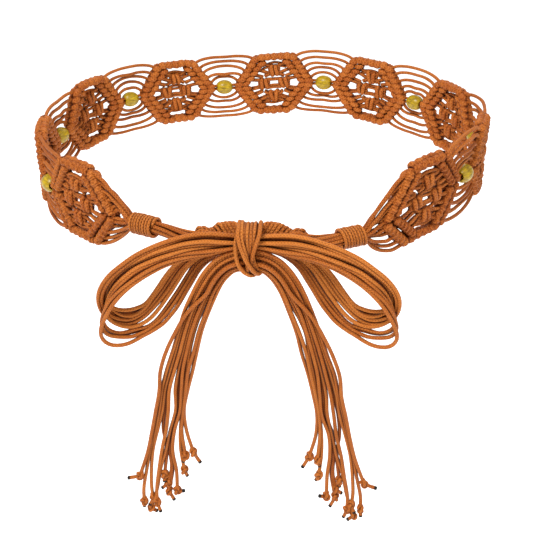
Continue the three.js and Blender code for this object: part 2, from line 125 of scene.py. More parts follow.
def run_along(points: np.ndarray) -> np.ndarray:
    """The distance along a line to each of its points."""
    return np.concatenate([[0.0], np.cumsum(np.linalg.norm(np.diff(points, axis=0), axis=1))])


def read_off(at: np.ndarray, runs: np.ndarray, rows: np.ndarray) -> np.ndarray:
    """Rows read off between the places where they are known."""
    return np.stack([np.interp(at, runs, column) for column in rows.T], axis=1)


def eased(share: np.ndarray | float) -> np.ndarray | float:
    """A share from 0 to 1 that starts and ends gently."""
    return share * share * (3 - 2 * share)


def unit(vector: np.ndarray) -> np.ndarray:
    """A vector of length one, or rows of them."""
    return vector / np.maximum(np.linalg.norm(vector, axis=-1, keepdims=True), 1e-9)


def put(name: str, data: bpy.types.ID) -> bpy.types.Object:
    """Puts an object into the scene.

    Args:
        name: The object's name.
        data: Its mesh, camera or light.

    Returns:
        The object.
    """
    made = bpy.data.objects.new(name, data)
    bpy.context.scene.collection.objects.link(made)
    return made


@dataclass(frozen=True)
class WaistLine:
    """The line that the middle of the band follows round the waist, as in the part's source.

    The ride says how far the band lies above that line, at places counted in panels from the middle of
    the back, in shares of the band's height.
    """

    width: float = 262.0
    depth: float = 242.0
    hip_swell: float = 4.0
    hip_turn: float = -2.04
    hip_spread: float = 1.4
    steps: int = 1440
    panel_pitch: float = 74.0
    band_height: float = 45.0
    ride: tuple[Spot, ...] = (
        (-5.4, -0.29), (-4.6, -0.15), (-4.0, -0.1), (-3.5, -0.15), (-2.5, -0.09),
        (-2.0, 0.01), (-0.5, -0.03), (0.5, 0.07), (1.5, 0.02), (2.5, 0.01),
        (3.4, 0.09), (4.0, 0.03), (4.6, -0.24), (5.4, -0.29),
    )

    def table(self) -> tuple[np.ndarray, np.ndarray, np.ndarray]:
        """Points of the line with the distance of each from the middle of the back.

        Returns:
            The distances, the points and the directions of the line there.
        """
        turn = np.linspace(-math.pi, math.pi, self.steps + 1)
        swell = np.maximum(0, np.cos((turn - self.hip_turn) * self.hip_spread))
        x = self.width / 2 * np.sin(turn) - self.hip_swell * swell**2
        points = np.stack([x, self.depth / 2 * np.cos(turn)], axis=1)
        runs = run_along(points)
        return runs - runs[self.steps // 2], points, unit(np.gradient(points, axis=0))

    def lift(self, along: np.ndarray) -> np.ndarray:
        """How far the band rides up at distances along the line.

        Args:
            along: Distances from the middle of the back.

        Returns:
            The heights of the band's middle there.
        """
        places, lifts = np.array(self.ride).T
        place = np.clip(along / self.panel_pitch, places[0], places[-1])
        span = np.clip(np.searchsorted(places, place, side="right") - 1, 0, len(places) - 2)
        share = (place - places[span]) / (places[span + 1] - places[span])
        return (lifts[span] + (lifts[span + 1] - lifts[span]) * eased(share)) * self.band_height

    def bend(self, flat: np.ndarray) -> np.ndarray:
        """Lays flat work round the waist.

        Args:
            flat: Rows of distance along the belt, height on it and distance out from it.

        Returns:
            The points in the belt's frame.
        """
        runs, points, ways = self.table()
        along, up, out = np.asarray(flat, float).T
        x, y = read_off(along, runs, points).T
        way_x, way_y = read_off(along, runs, ways).T
        return np.stack([x - way_y * out, y + way_x * out, up + self.lift(along)], axis=1)


WAIST = WaistLine()


@dataclass(frozen=True)
class PanelOutline:
    """The pointed hexagon that every knotted panel has, as in the part's source."""

    length: float = 60.0
    flat: float = 28.0
    height: float = 45.0

    @property
    def tip(self) -> float:
        """How far a point lies from the panel's middle."""
        return self.length / 2

    @property
    def slant(self) -> float:
        """How far a slanted side runs along the belt."""
        return (self.length - self.flat) / 2

    @property
    def half(self) -> float:
        """Half the height."""
        return self.height / 2


OUTLINE = PanelOutline()


# Finishes


class Shader:
    """A material's node tree, with short ways to add to it."""

    def __init__(self, name: str) -> None:
        """Starts a material that has only its output and main shader.

        Args:
            name: The material's name.
        """
        self.material = bpy.data.materials.new(name)
        self.material.use_nodes = True
        self.tree = self.material.node_tree
        self.main = self.tree.nodes["Principled BSDF"]

    def node(self, kind: str, settings: dict | None = None, **inputs: object) -> bpy.types.Node:
        """Adds a node.

        Args:
            kind: The node's type name.
            settings: Properties of the node.
            **inputs: Values or sockets for its inputs, with _ for a space; in0, in1 by number.

        Returns:
            The node.
        """
        node = self.tree.nodes.new(kind)
        for key, value in (settings or {}).items():
            setattr(node, key, value)
        for key, value in inputs.items():
            numbered = key[:2] == "in" and key[2:].isdigit()
            socket = node.inputs[int(key[2:]) if numbered else key.replace("_", " ")]
            if isinstance(value, bpy.types.NodeSocket):
                self.tree.links.new(value, socket)
            else:
                socket.default_value = value
        return node

    def sum(self, operation: str, first: object, second: object = 0.0) -> bpy.types.NodeSocket:
        """A value worked out from two others."""
        return self.node("ShaderNodeMath", {"operation": operation}, in0=first, in1=second).outputs[0]

    def added(self, start: object, *parts: tuple[bpy.types.NodeSocket, float]) -> bpy.types.NodeSocket:
        """A value with others added to it.

        Args:
            start: The value, or its socket.
            *parts: What is added, each a socket with its share.

        Returns:
            The socket of the sum.
        """
        for value, share in parts:
            start = self.sum("ADD", start, self.sum("MULTIPLY", value, share))
        return start

    def blend(self, share: object, first: object, second: object) -> bpy.types.NodeSocket:
        """A colour between two others, the first where the share is 0 and the second where it is 1."""
        node = self.node("ShaderNodeMix", {"data_type": "RGBA"}, in0=share, in6=first, in7=second)
        return node.outputs[2]

    def ramp(self, value: bpy.types.NodeSocket, ends: Span) -> bpy.types.NodeSocket:
        """Stretches the values between two ends over 0 to 1."""
        return self.node("ShaderNodeMapRange", in0=value, in1=ends[0], in2=ends[1]).outputs[0]

    def noise(self, place: bpy.types.NodeSocket, scale: float, detail: float = 2.0) -> bpy.types.NodeSocket:
        """Cloudy values from 0 to 1 over a place."""
        return self.node("ShaderNodeTexNoise", Vector=place, Scale=scale, Detail=detail).outputs[0]

    def attribute(self, name: str) -> bpy.types.NodeSocket:
        """A number that the mesh carries."""
        return self.node("ShaderNodeAttribute", {"attribute_name": name}).outputs["Fac"]

    def place(self) -> bpy.types.NodeSocket:
        """The place on the object."""
        return self.node("ShaderNodeTexCoord").outputs["Object"]

    def on_cord(self) -> bpy.types.NodeSocket:
        """The place along and round the cord, or on the bead."""
        return self.node("ShaderNodeUVMap", {"uv_map": "cord"}).outputs[0]

    def wire(self, socket: str, value: bpy.types.NodeSocket) -> None:
        """Feeds an input of the main shader."""
        self.tree.links.new(value, self.main.inputs[socket])

    def emboss(self, height: bpy.types.NodeSocket, distance: float, strength: float) -> None:
        """Raises the surface by a height."""
        bump = self.node("ShaderNodeBump", Height=height, Distance=distance, Strength=strength)
        self.wire("Normal", bump.outputs[0])

    def even(self, **values: object) -> None:
        """Sets inputs of the main shader that are the same all over, with _ for a space."""
        for key, value in values.items():
            self.main.inputs[key.replace("_", " ")].default_value = value


@dataclass(frozen=True)
class CordFinish:
    """Waxed cotton cord: fine braid, dull wax sheen, painted shade where it lies against other cords,
    melted at its tips.
    """

    name: str = "waxed_cord"
    lit: Colour = (0.61, 0.192, 0.03, 1)
    deep: Colour = (0.28, 0.05, 0.002, 1)
    # Painted shade: the dark colour a cord takes where it lies against another cord.
    hollow: Colour = (0.06, 0.006, 0.0003, 1)
    melted: Colour = (0.012, 0.008, 0.006, 1)
    plaits_along: float = 1.3
    plaits_round: float = 4.0
    mottle_scale: float = 160.0
    fibre_scale: float = 1300.0
    detail: float = 4.0
    mottle_share: float = 0.55
    fibre_share: float = 0.9
    plait_share: float = 0.3
    tone_ends: Span = (0.6, 1.9)
    crevice_ends: Span = (0.02, 0.92)
    melt_and_bore_shade_ends: Span = (0.35, 0.8)
    smoothest: float = 0.4
    fibre_rough: float = 0.28
    fibre_height: float = 0.8
    relief: float = 0.00017
    specular: float = 0.2

    def material(self) -> bpy.types.Material:
        """Makes the cord's material.

        Returns:
            A material that reads the place on the cord from its UVs, and from the mesh its tone, which
            is kept dark as painted shade on cords that lie behind and under others, its melted tips and
            the painted shade between cords.
        """
        shader = Shader(self.name)
        parts = shader.node("ShaderNodeSeparateXYZ", in0=shader.on_cord())
        along = shader.sum("MULTIPLY", parts.outputs[0], self.plaits_along * 2 * math.pi)
        round_it = shader.sum("MULTIPLY", parts.outputs[1], self.plaits_round * 2 * math.pi)
        one_way = shader.sum("SINE", shader.sum("ADD", along, round_it))
        other_way = shader.sum("SINE", shader.sum("SUBTRACT", along, round_it))
        plait = shader.sum("MAXIMUM", one_way, other_way)
        place = shader.place()
        mottle = shader.noise(place, self.mottle_scale, self.detail)
        fibre = shader.noise(place, self.fibre_scale, self.detail)
        tone = shader.added(
            shader.attribute("tone"),
            (mottle, self.mottle_share), (fibre, self.fibre_share), (plait, self.plait_share),
        )
        colour = shader.blend(shader.ramp(tone, self.tone_ends), self.deep, self.lit)
        # Painted shade: the colour is pulled toward the dark shade colour where cords lie close together.
        crevice = shader.ramp(shader.attribute("crevice"), self.crevice_ends)
        melt_and_bore_shade = shader.ramp(shader.attribute("melt_and_bore_shade"), self.melt_and_bore_shade_ends)
        colour = shader.blend(crevice, colour, self.hollow)
        shader.wire("Base Color", shader.blend(melt_and_bore_shade, colour, self.melted))
        shader.wire("Roughness", shader.added(self.smoothest, (fibre, self.fibre_rough)))
        shader.emboss(shader.added(plait, (fibre, self.fibre_height)), self.relief, 1.0)
        shader.even(Specular_IOR_Level=self.specular)
        return shader.material


@dataclass(frozen=True)
class WoodFinish:
    """Small stained wooden bead: olive yellow with fine grain under lacquer, and painted shade in its bore.
    """

    name: str = "stained_wood"
    light: Colour = (0.56, 0.37, 0.006, 1)
    dark: Colour = (0.2, 0.125, 0.01, 1)
    # Painted shade: the dark colour inside the bore.
    bore: Colour = (0.05, 0.028, 0.006, 1)
    stretch: Place = (1.2, 16.0, 1.0)
    grain_scale: float = 2.2
    grain_detail: float = 6.0
    grain_share: float = 0.7
    blotch_scale: float = 260.0
    blotch_share: float = 0.3
    tone_ends: Span = (0.36, 0.62)
    bore_shade_ends: Span = (0.2, 0.9)
    relief: float = 0.00012
    strength: float = 0.4

    def material(self) -> bpy.types.Material:
        """Makes the bead's material, with its grain running through the bore.

        Returns:
            The material.
        """
        shader = Shader(self.name)
        spread = shader.node("ShaderNodeMapping", in0=shader.on_cord(), Scale=self.stretch).outputs[0]
        grain = shader.noise(spread, self.grain_scale, self.grain_detail)
        blotch = shader.noise(shader.place(), self.blotch_scale)
        share = shader.added(shader.sum("MULTIPLY", grain, self.grain_share), (blotch, self.blotch_share))
        colour = shader.blend(shader.ramp(share, self.tone_ends), self.dark, self.light)
        # Painted shade: the bore is darkened toward the bore colour.
        inside = shader.ramp(shader.attribute("melt_and_bore_shade"), self.bore_shade_ends)
        shader.wire("Base Color", shader.blend(inside, colour, self.bore))
        shader.emboss(grain, self.relief, self.strength)
        shader.even(Roughness=0.34, Coat_Weight=0.12, Coat_Roughness=0.25, Specular_IOR_Level=0.3)
        return shader.material


@dataclass(frozen=True)
class FloorFinish:
    """Plain pale paper that glows a little, so that it stays pale under soft light."""

    name: str = "pale_paper"
    glow: float = 0.6
    colour: Colour = (0.93, 0.93, 0.925, 1)
    shade: float = 0.992
    fleck_scale: float = 40.0
    fleck_ends: Span = (0.3, 0.7)

    def material(self) -> bpy.types.Material:
        """Makes the floor's material.

        Returns:
            The material.
        """
        shader = Shader(self.name)
        fleck = shader.ramp(shader.noise(shader.place(), self.fleck_scale), self.fleck_ends)
        shaded = tuple(value * self.shade for value in self.colour[:3]) + (1,)
        shader.wire("Base Color", shader.blend(fleck, self.colour, shaded))
        shader.even(Roughness=0.9, Specular_IOR_Level=0.1)
        shader.even(Emission_Color=WHITE, Emission_Strength=self.glow)
        return shader.material


# Cord work


@dataclass
class CordWork:
    """Tubes of cord gathered into one mesh.

    A free tip reaches on and narrows by shares of its radius. The probe is how far outside the surface
    the next cord is looked for, to paint shade between cords; a place is buried, in full painted shade,
    where that cord's middle is as near as the size says.
    """

    sides: int = 8
    cord: float = 2.0
    tip_reach: float = 0.35
    tip_width: float = 0.45
    probe: float = 1.1
    open_slack: float = 0.08
    buried: float = 0.75
    corners: list[np.ndarray] = field(default_factory=list)
    quads: list[np.ndarray] = field(default_factory=list)
    lays: list[np.ndarray] = field(default_factory=list)
    tones: list[np.ndarray] = field(default_factory=list)
    # How dark each place is melted; a bead keeps the painted shade of its bore here.
    melts_and_bore_shades: list[np.ndarray] = field(default_factory=list)
    outwards: list[np.ndarray] = field(default_factory=list)
    middles: list[np.ndarray] = field(default_factory=list)
    count: int = 0

    def lay(
        self,
        path: np.ndarray,
        radius: float | np.ndarray,
        tone: float = 0.3,
        closed: bool = False,
        melt_and_bore_shade: np.ndarray | None = None,
    ) -> None:
        """Adds a cord along a line.

        Args:
            path: Points of its centre line in the belt's frame.
            radius: Its radius, or one for each point.
            tone: How light this cord is, from 0 to about 1.
            closed: Whether the line goes back to its start.
            melt_and_bore_shade: How dark each point is melted, from 0 to 1.
        """
        path = np.asarray(path, float)
        radii = np.broadcast_to(np.asarray(radius, float), (len(path),))
        dark = np.zeros(len(path)) if melt_and_bore_shade is None else melt_and_bore_shade
        if not closed:
            ends = unit(np.array([path[0] - path[1], path[-1] - path[-2]]))
            first = path[0] + ends[0] * radii[0] * self.tip_reach
            last = path[-1] + ends[1] * radii[-1] * self.tip_reach
            path = np.vstack([first, path, last])
            radii = np.concatenate([[radii[0] * self.tip_width], radii, [radii[-1] * self.tip_width]])
            dark = np.concatenate([dark[:1], dark, dark[-1:]])
        total = len(path)
        spokes = self.spokes(path, closed)
        self.corners.append((path[:, None] + spokes * radii[:, None, None]).reshape(-1, 3))
        self.outwards.append(spokes.reshape(-1, 3))
        self.middles.append(path)
        self.tones.append(np.full(total * self.sides, tone))
        self.melts_and_bore_shades.append(np.repeat(dark, self.sides))
        self.join(total, run_along(path) / self.cord, closed)
        self.count += total * self.sides

    def spokes(self, path: np.ndarray, closed: bool) -> np.ndarray:
        """Directions out from a line to the corners of the rings round it.

        Args:
            path: Points of the line.
            closed: Whether it goes back to its start.

        Returns:
            For each point, a row for each side.
        """
        ways, across = self.frames(path, closed)
        other = np.cross(ways, across)
        turn = np.arange(self.sides) * 2 * math.pi / self.sides
        return np.cos(turn)[None, :, None] * across[:, None] + np.sin(turn)[None, :, None] * other[:, None]

    def join(self, total: int, lengths: np.ndarray, closed: bool) -> None:
        """Adds the faces between a cord's rings, with their places on the cord.

        Args:
            total: How many rings there are.
            lengths: The distance along the cord to each ring, in diameters.
            closed: Whether the last ring joins the first.
        """
        spans = total if closed else total - 1
        first = np.arange(spans)[:, None]
        second = (first + 1) % total
        place = np.arange(self.sides)[None, :]
        after = (place + 1) % self.sides
        quads = np.stack([
            first * self.sides + place, second * self.sides + place,
            second * self.sides + after, first * self.sides + after,
        ], axis=-1)
        self.quads.append(quads.reshape(-1, 4) + self.count)
        start = np.broadcast_to(lengths[first[:, 0]][:, None], (spans, self.sides))
        step = np.abs(lengths[second[:, 0]] - lengths[first[:, 0]])
        if closed:
            step[-1] = step[:-1].mean()
        end = start + step[:, None]
        low = np.broadcast_to(place / self.sides, (spans, self.sides))
        high = low + 1 / self.sides
        lays = np.stack([
            np.stack([start, low], -1), np.stack([end, low], -1),
            np.stack([end, high], -1), np.stack([start, high], -1),
        ], axis=2)
        self.lays.append(lays.reshape(-1, 2))

    @staticmethod
    def frames(path: np.ndarray, closed: bool) -> tuple[np.ndarray, np.ndarray]:
        """Directions of a line, and directions across it that don't twist.

        Args:
            path: Points of the line.
            closed: Whether it goes back to its start.

        Returns:
            The directions along the line and those across it, a row for each point.
        """
        if closed:
            ways = unit(np.roll(path, -1, axis=0) - np.roll(path, 1, axis=0))
        else:
            ways = unit(np.gradient(path, axis=0))
        start = np.eye(3)[np.argmin(np.abs(ways[0]))]
        across = np.zeros_like(ways)
        last = start - ways[0] * (start @ ways[0])
        for index, way in enumerate(ways):
            last = last - way * (last @ way)
            last = last / max(math.sqrt(last @ last), 1e-9)
            across[index] = last
        if closed:
            end = across[-1] - ways[0] * (across[-1] @ ways[0])
            turn = math.atan2(np.cross(across[0], end) @ ways[0], across[0] @ end)
            back = -turn * np.arange(len(path))[:, None] / len(path)
            across = across * np.cos(back) + np.cross(ways, across) * np.sin(back)
        return ways, across

    def painted_crevice_shades(self) -> np.ndarray:
        """How much painted shade each corner gets between cords, from 0 in the open to 1 against another
        cord.

        Returns:
            A painted shade value for each corner, from how near the next cord's middle is just outside it.
        """
        middles = np.concatenate(self.middles)
        tree = KDTree(len(middles))
        for index, middle in enumerate(middles.tolist()):
            tree.insert(middle, index)
        tree.balance()
        probes = np.concatenate(self.corners) + np.concatenate(self.outwards) * self.probe
        nearest = np.array([tree.find(probe)[2] for probe in probes.tolist()])
        open_at = self.cord / 2 + self.probe - self.open_slack
        return np.clip((open_at - nearest) / (open_at - self.buried), 0, 1)

    def mesh(self, name: str) -> bpy.types.Mesh:
        """Makes the mesh of all the cords laid so far, in metres.

        Args:
            name: The mesh's name.

        Returns:
            The mesh, with the cord's UVs, its tones, how dark it is melted (a bead keeps the painted shade
            of its bore in the same channel) and the painted shade between cords.
        """
        corners = np.concatenate(self.corners) * MM
        quads = np.concatenate(self.quads)
        mesh = bpy.data.meshes.new(name)
        mesh.vertices.add(len(corners))
        mesh.vertices.foreach_set("co", corners.astype(np.float32).ravel())
        mesh.loops.add(quads.size)
        mesh.loops.foreach_set("vertex_index", quads.astype(np.int32).ravel())
        mesh.polygons.add(len(quads))
        mesh.polygons.foreach_set("loop_start", np.arange(0, quads.size, 4, dtype=np.int32))
        mesh.update(calc_edges=True)
        mesh.polygons.foreach_set("use_smooth", np.ones(len(quads), bool))
        layer = mesh.uv_layers.new(name="cord")
        layer.data.foreach_set("uv", np.concatenate(self.lays).astype(np.float32).ravel())
        held = {"tone": np.concatenate(self.tones), "melt_and_bore_shade": np.concatenate(self.melts_and_bore_shades)}
        if self.outwards:
            # Painted shade between cords, from how near the next cord lies to each corner.
            held["crevice"] = self.painted_crevice_shades()
        for word, values in held.items():
            mesh.attributes.new(word, "FLOAT", "POINT").data.foreach_set("value", values.astype(np.float32))
        return mesh

    def piece(self, name: str, material: bpy.types.Material, slot: Slot) -> bpy.types.Object:
        """Puts the cords into the scene as one piece that rides on the belt.

        Args:
            name: The piece's name.
            material: Its finish.
            slot: Not used.

        Returns:
            The piece.
        """
        mesh = self.mesh(name)
        mesh.materials.append(material)
        made = put(name, mesh)
        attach(made, BODY)
        LOG.info("%s: %d faces", name, len(mesh.polygons))
        return made


@dataclass
class Dresser:
    """Holds the finishes and makes each piece that stands for a node of the frame."""

    finishes: dict[Slot, bpy.types.Material]

    def dress(
        self, work: CordWork, node: str, word: str = "cords", slot: Slot = Slot.CORD
    ) -> bpy.types.Object:
        """Makes a piece that stands for one node.

        Args:
            work: The cords of the piece, or the bead's rings.
            node: The node that it stands for.
            word: What the piece is, for its name.
            slot: Which finish it takes.

        Returns:
            The piece.
        """
        made = work.piece(f"{node}_{word}", self.finishes[slot], slot)
        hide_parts(node)
        return made


# Knotted band


@dataclass
class Panel:
    """A hexagonal knotted panel: a double frame of hitches round four square knots.

    A ridge of the frame is a rank of hitches, each of three turns over a leader, with plump crossings
    behind. A link is a pair of cords from a place on the frame to a place on the knots, given for one
    quarter of the panel.
    """

    number: int
    ridge: float = 4.4
    cord_radius: float = 1.04
    tones: Span = (0.12, 0.5)
    wraps: int = 3
    wrap_points: int = 6
    wrap_step: float = 2.15
    wrap_slip: float = 0.12
    wrap_fill: float = 0.93
    wrap_radius: float = 1.16
    wrap_plump: Span = (1.12, 0.9)
    wrap_bulge: Span = (0.95, 1.06)
    wrap_wide: float = 1.4
    wrap_deep: float = 2.15
    wrap_back: float = 0.3
    wrap_pull: float = 0.8
    wrap_swell: float = 0.1
    top_wide: float = 1.45
    top_deep: float = 1.9
    leader_radius: float = 1.6
    outer_hitches: int = 6
    inner_hitches: int = 6
    top_hitches: int = 5
    outer_bumps: int = 6
    inner_bumps: int = 5
    top_bumps: int = 5
    bump_points: int = 9
    bump_half: float = 3.9
    bump_lean: float = 0.2
    bump_back: float = 0.62
    bump_bow: float = 0.75
    bump_sizes: Span = (0.92, 1.06)
    outer_tall: float = 2.35
    inner_tall: float = 2.05
    top_bump: Spot = (3.5, 2.65)
    tip_bump: Spot = (2.6, 1.6)
    inner_end: Spot = (8.2, 17.4)
    knot_along: float = 7.4
    knot_up: float = 9.4
    bar_points: int = 20
    bar_gap: float = 1.62
    bar_lean: float = 0.3
    bar_wave: float = 0.4
    bar_half: float = 3.3
    bar_deep: float = 1.7
    bar_radius: float = 1.55
    bar_square: float = 0.75
    core_lanes: tuple[float, ...] = (-0.8, -0.3, 0.3, 0.8)
    core_places: tuple[float, ...] = (-4.2, -1.4, 1.4, 4.2)
    core_radius: float = 1.15
    painted_shade_leader_tone: float = 0.1
    bump_round: tuple[float, float] = (1.05, 0.7)
    links: tuple[tuple[Spot, Spot], ...] = (
        ((20.4, 3.9), (9.6, 2.6)), ((17.6, 7.6), (8.2, 5.2)), ((14.6, 11.6), (3.6, 7.8)),
        ((11.2, 15.0), (3.0, 11.8)), ((6.8, 5.6), (2.8, 7.2)),
    )
    link_lanes: Span = (-0.5, 0.5)
    link_depth: float = 1.4
    bridge_radius: float = 0.96
    bridge_step: float = 1.1
    overs: tuple[float, ...] = (11.2, 13.0)
    over_reach: float = 8.6
    over_bows: Span = (0.9, 2.0)
    slot_edges: tuple[float, ...] = (2.25, 3.7)
    slot_reach: float = 5.2
    slot_bows: Span = (-0.7, 0.4)

    def __post_init__(self) -> None:
        """Sets what follows from the sizes."""
        self.along = (self.number - 5) * WAIST.panel_pitch
        self.chance = np.random.default_rng(100 + self.number)
        self.work = CordWork()

    def vary(self, reach: float) -> float:
        """A chance value between -reach and reach."""
        return self.chance.uniform(-reach, reach)

    def corner(self, inset: float) -> Place:
        """A panel outline drawn in by inset.

        Args:
            inset: How far in, square to each edge.

        Returns:
            The tip's distance along, and the top corner's distance along and height.
        """
        sideways = math.hypot(OUTLINE.slant, OUTLINE.half) / OUTLINE.half
        tip = OUTLINE.tip - inset * sideways
        top = OUTLINE.half - inset
        return tip, tip - OUTLINE.slant * top / OUTLINE.half, top

    def lay(
        self, flat: np.ndarray, radius: float | np.ndarray, tone: float | None = None, closed: bool = False
    ) -> None:
        """Lays one cord of flat work on this panel.

        Args:
            flat: Points along, up and out from the panel's middle.
            radius: The cord's radius, or one for each point.
            tone: How light it is, or None for a chance tone.
            closed: Whether the cord goes back to its start.
        """
        shifted = np.asarray(flat, float) + [self.along, 0, 0]
        light = self.chance.uniform(*self.tones) if tone is None else tone
        self.work.lay(WAIST.bend(shifted), radius, light, closed)

    def hitches(self, start: Spot, end: Spot, count: int, wide: float, deep: float) -> None:
        """Winds hitches round a leader: plump turns outside, and flatter ones behind that lead onward.

        Args:
            start: Where the leader starts, along and up.
            end: Where it ends.
            count: How many hitches it carries.
            wide: Half the width of the turns' centre line.
            deep: Half its depth.
        """
        first, last = np.array(start, float), np.array(end, float)
        length = float(np.linalg.norm(last - first))
        way = (last - first) / length
        across = np.array([-way[1], way[0]])
        if way[0] * across[0] > 0:
            across = -across
        pitch = length / count
        step = min(self.wrap_step, pitch / self.wraps * self.wrap_fill)
        runs = [
            (hitch + 0.5) * pitch + (wrap - (self.wraps - 1) / 2) * step + self.vary(self.wrap_slip)
            for hitch in range(count) for wrap in range(self.wraps)
        ]
        angles = np.linspace(0, math.pi, self.wrap_points, endpoint=False)
        back = deep * self.wrap_back
        rows, radii = [], []
        for index, run in enumerate(runs):
            place = index % self.wraps
            inside = place < self.wraps - 1
            onward = runs[index + 1] if index + 1 < len(runs) else run + step
            plump = self.wrap_plump[0] if 0 < place < self.wraps - 1 else self.wrap_plump[1]
            bulge = deep * plump * self.chance.uniform(*self.wrap_bulge)
            for angle in angles:
                rows.append((run, -wide * plump * math.cos(angle), bulge * math.sin(angle)))
                radii.append(self.cord_radius * self.wrap_radius)
            pulled = 1.0 if inside else self.wrap_pull
            swell = self.wrap_swell if inside else -self.wrap_swell
            for angle in angles:
                share = float(eased(angle / math.pi))
                width = wide * (1 + (pulled - 1) * math.sin(angle)) * math.cos(angle)
                rows.append((run + (onward - run) * share, width, -back * math.sin(angle)))
                radii.append(self.cord_radius * (1 + swell * math.sin(angle)))
        rows = np.array(rows)
        flat = first + rows[:, :1] * way + rows[:, 1:2] * across
        self.lay(np.column_stack([flat, rows[:, 2]]), np.array(radii))
        leader = np.linspace(first - way, last + way, max(4, int(length / 3)))
        leader = np.column_stack([leader, np.zeros(len(leader))])
        # Painted shade: the leader, lying inside the wraps, gets a dark tone.
        self.lay(leader, self.cord_radius * self.leader_radius, self.painted_shade_leader_tone)

    def bump(self, middle: Spot, lean: float, half: float, tall: float) -> None:
        """Lays the plump crossing that a hitch shows on the reverse.

        Args:
            middle: Where its middle is, along and up.
            lean: Its slope, in radians.
            half: Half its length.
            tall: Half its height.
        """
        places = np.linspace(-1, 1, self.bump_points)
        rows = np.column_stack([
            middle[0] + half * places * math.cos(lean), middle[1] + half * places * math.sin(lean),
            -self.wrap_deep * self.bump_back - self.bump_bow * (1 - places**2),
        ])
        self.lay(rows, tall * (self.bump_round[0] - places**2) ** self.bump_round[1])

    def bumps(self, start: Spot, end: Spot, count: int, lean: float, tall: float) -> None:
        """Lays a rank of crossings behind a ridge.

        Args:
            start: Where the ridge starts, along and up.
            end: Where it ends.
            count: How many crossings it shows.
            lean: Their slope, in radians.
            tall: Half the height of each.
        """
        for index in range(count):
            share = (index + 0.5) / count
            along = start[0] + (end[0] - start[0]) * share + self.vary(0.35)
            up = start[1] + (end[1] - start[1]) * share + self.vary(0.2)
            size = self.chance.uniform(*self.bump_sizes)
            self.bump((along, up), lean + self.vary(0.12), self.bump_half * size, tall * size)

    def ridges(self, right: int, up: int) -> None:
        """Lays the outer and the inner hitched ridge of one slanted side.

        Args:
            right: 1 for the side at the panel's right, -1 for the left.
            up: 1 for its upper half, -1 for the lower.
        """
        tip, corner, top = self.corner(self.ridge / 2)
        inner_tip = self.corner(self.ridge * 1.5)[0]
        for ridge_tip, last, hitches, shown, tall in (
            (tip, (corner + 0.2, top - 0.2), self.outer_hitches, self.outer_bumps, self.outer_tall),
            (inner_tip, self.inner_end, self.inner_hitches, self.inner_bumps, self.inner_tall),
        ):
            start, end = (right * (ridge_tip - 0.7), up * 1.2), (right * last[0], up * last[1])
            self.hitches(start, end, hitches, self.wrap_wide, self.wrap_deep)
            self.bumps((right * ridge_tip, 0), end, shown, -right * up * self.bump_lean, tall)

    def edge(self, up: int) -> None:
        """Lays the hitched ridge along the top or the bottom.

        Args:
            up: 1 for the top, -1 for the bottom.
        """
        _, corner, top = self.corner(self.ridge / 2)
        level = up * (top - 0.65)
        ends = (-corner + 1.6, level), (corner - 1.6, level)
        self.hitches(*ends, self.top_hitches, self.top_wide, self.top_deep)
        for index in range(self.top_bumps):
            along = (2 * index / (self.top_bumps - 1) - 1) * (corner - 3.2) + self.vary(0.5)
            middle = (along, level + up * 0.5 + self.vary(0.4))
            self.bump(middle, self.vary(0.5), *self.top_bump)

    def square_knot(self, along: float, up: float) -> None:
        """Lays a square knot: two bars tied round the cords that run through it.

        Args:
            along: Where the knot's middle is along the panel.
            up: Its height on the panel.
        """
        angles = np.linspace(0, 2 * math.pi, self.bar_points, endpoint=False)
        tall, deep = np.cos(angles), np.sin(angles)
        for bar in (-1, 1):
            lean = bar * self.bar_lean + self.vary(0.9)
            half = self.bar_half + self.chance.uniform(-0.7, 0.3)
            ring = np.column_stack([
                along + bar * self.bar_gap + lean * tall + self.bar_wave * np.sin(2 * angles),
                up + half * np.sign(tall) * np.abs(tall) ** self.bar_square,
                self.bar_deep * np.sign(deep) * np.abs(deep) ** self.bar_square,
            ])
            self.lay(ring, self.bar_radius, closed=True)
        for lane in self.core_lanes:
            core = np.array([
                (along + place, up + lane * self.bar_half, 0.0) for place in self.core_places
            ])
            self.lay(core, self.cord_radius * self.core_radius)

    def bridge(self, start: Spot, end: Spot, bow: float, depth: float) -> None:
        """Lays a bare cord between two places of the panel.

        Args:
            start: Where it comes from, along and up.
            end: Where it goes to.
            bow: How far its middle lies above the straight line.
            depth: How far out it lies.
        """
        middle = [(start[0] + end[0]) / 2, (start[1] + end[1]) / 2 + bow, depth]
        line = np.array([[start[0], start[1], 0], middle, [end[0], end[1], 0]])
        self.lay(rounded(line, self.bridge_step), self.cord_radius * self.bridge_radius)

    def across(self, reach: float, level: float, spread: float, up: int, bows: Span, depth: float) -> None:
        """Lays a bare cord across the middle of the panel.

        Args:
            reach: How far it goes to each side.
            level: Its height at the ends.
            spread: How far chance moves an end.
            up: 1 above the middle, -1 below it.
            bows: The least and the most that chance bows it away from the middle.
            depth: How far out it lies.
        """
        ends = up * (level + self.chance.uniform(-spread, spread, 2))
        self.bridge((-reach, ends[0]), (reach, ends[1]), up * self.chance.uniform(*bows), depth)

    def pair(self, root: Spot, end: Spot, right: int, up: int) -> None:
        """Lays the two cords of a link in one quarter of the panel.

        Args:
            root: Where they leave the frame, along and up.
            end: Where they reach the knots.
            right: 1 for the right half of the panel, -1 for the left.
            up: 1 for the upper half, -1 for the lower.
        """
        slide = self.vary(0.8)
        way = unit(np.array(end) - root)
        bow = up * self.chance.uniform(0.0, 0.7)
        for lane in self.link_lanes:
            shift = np.array([-way[1], way[0]]) * lane + [-0.58 * slide, 0.82 * slide]
            first, last = ((np.array(place) + shift) * (right, up) for place in (root, end))
            self.bridge(tuple(first), tuple(last), bow, lane * self.link_depth + self.vary(0.4))

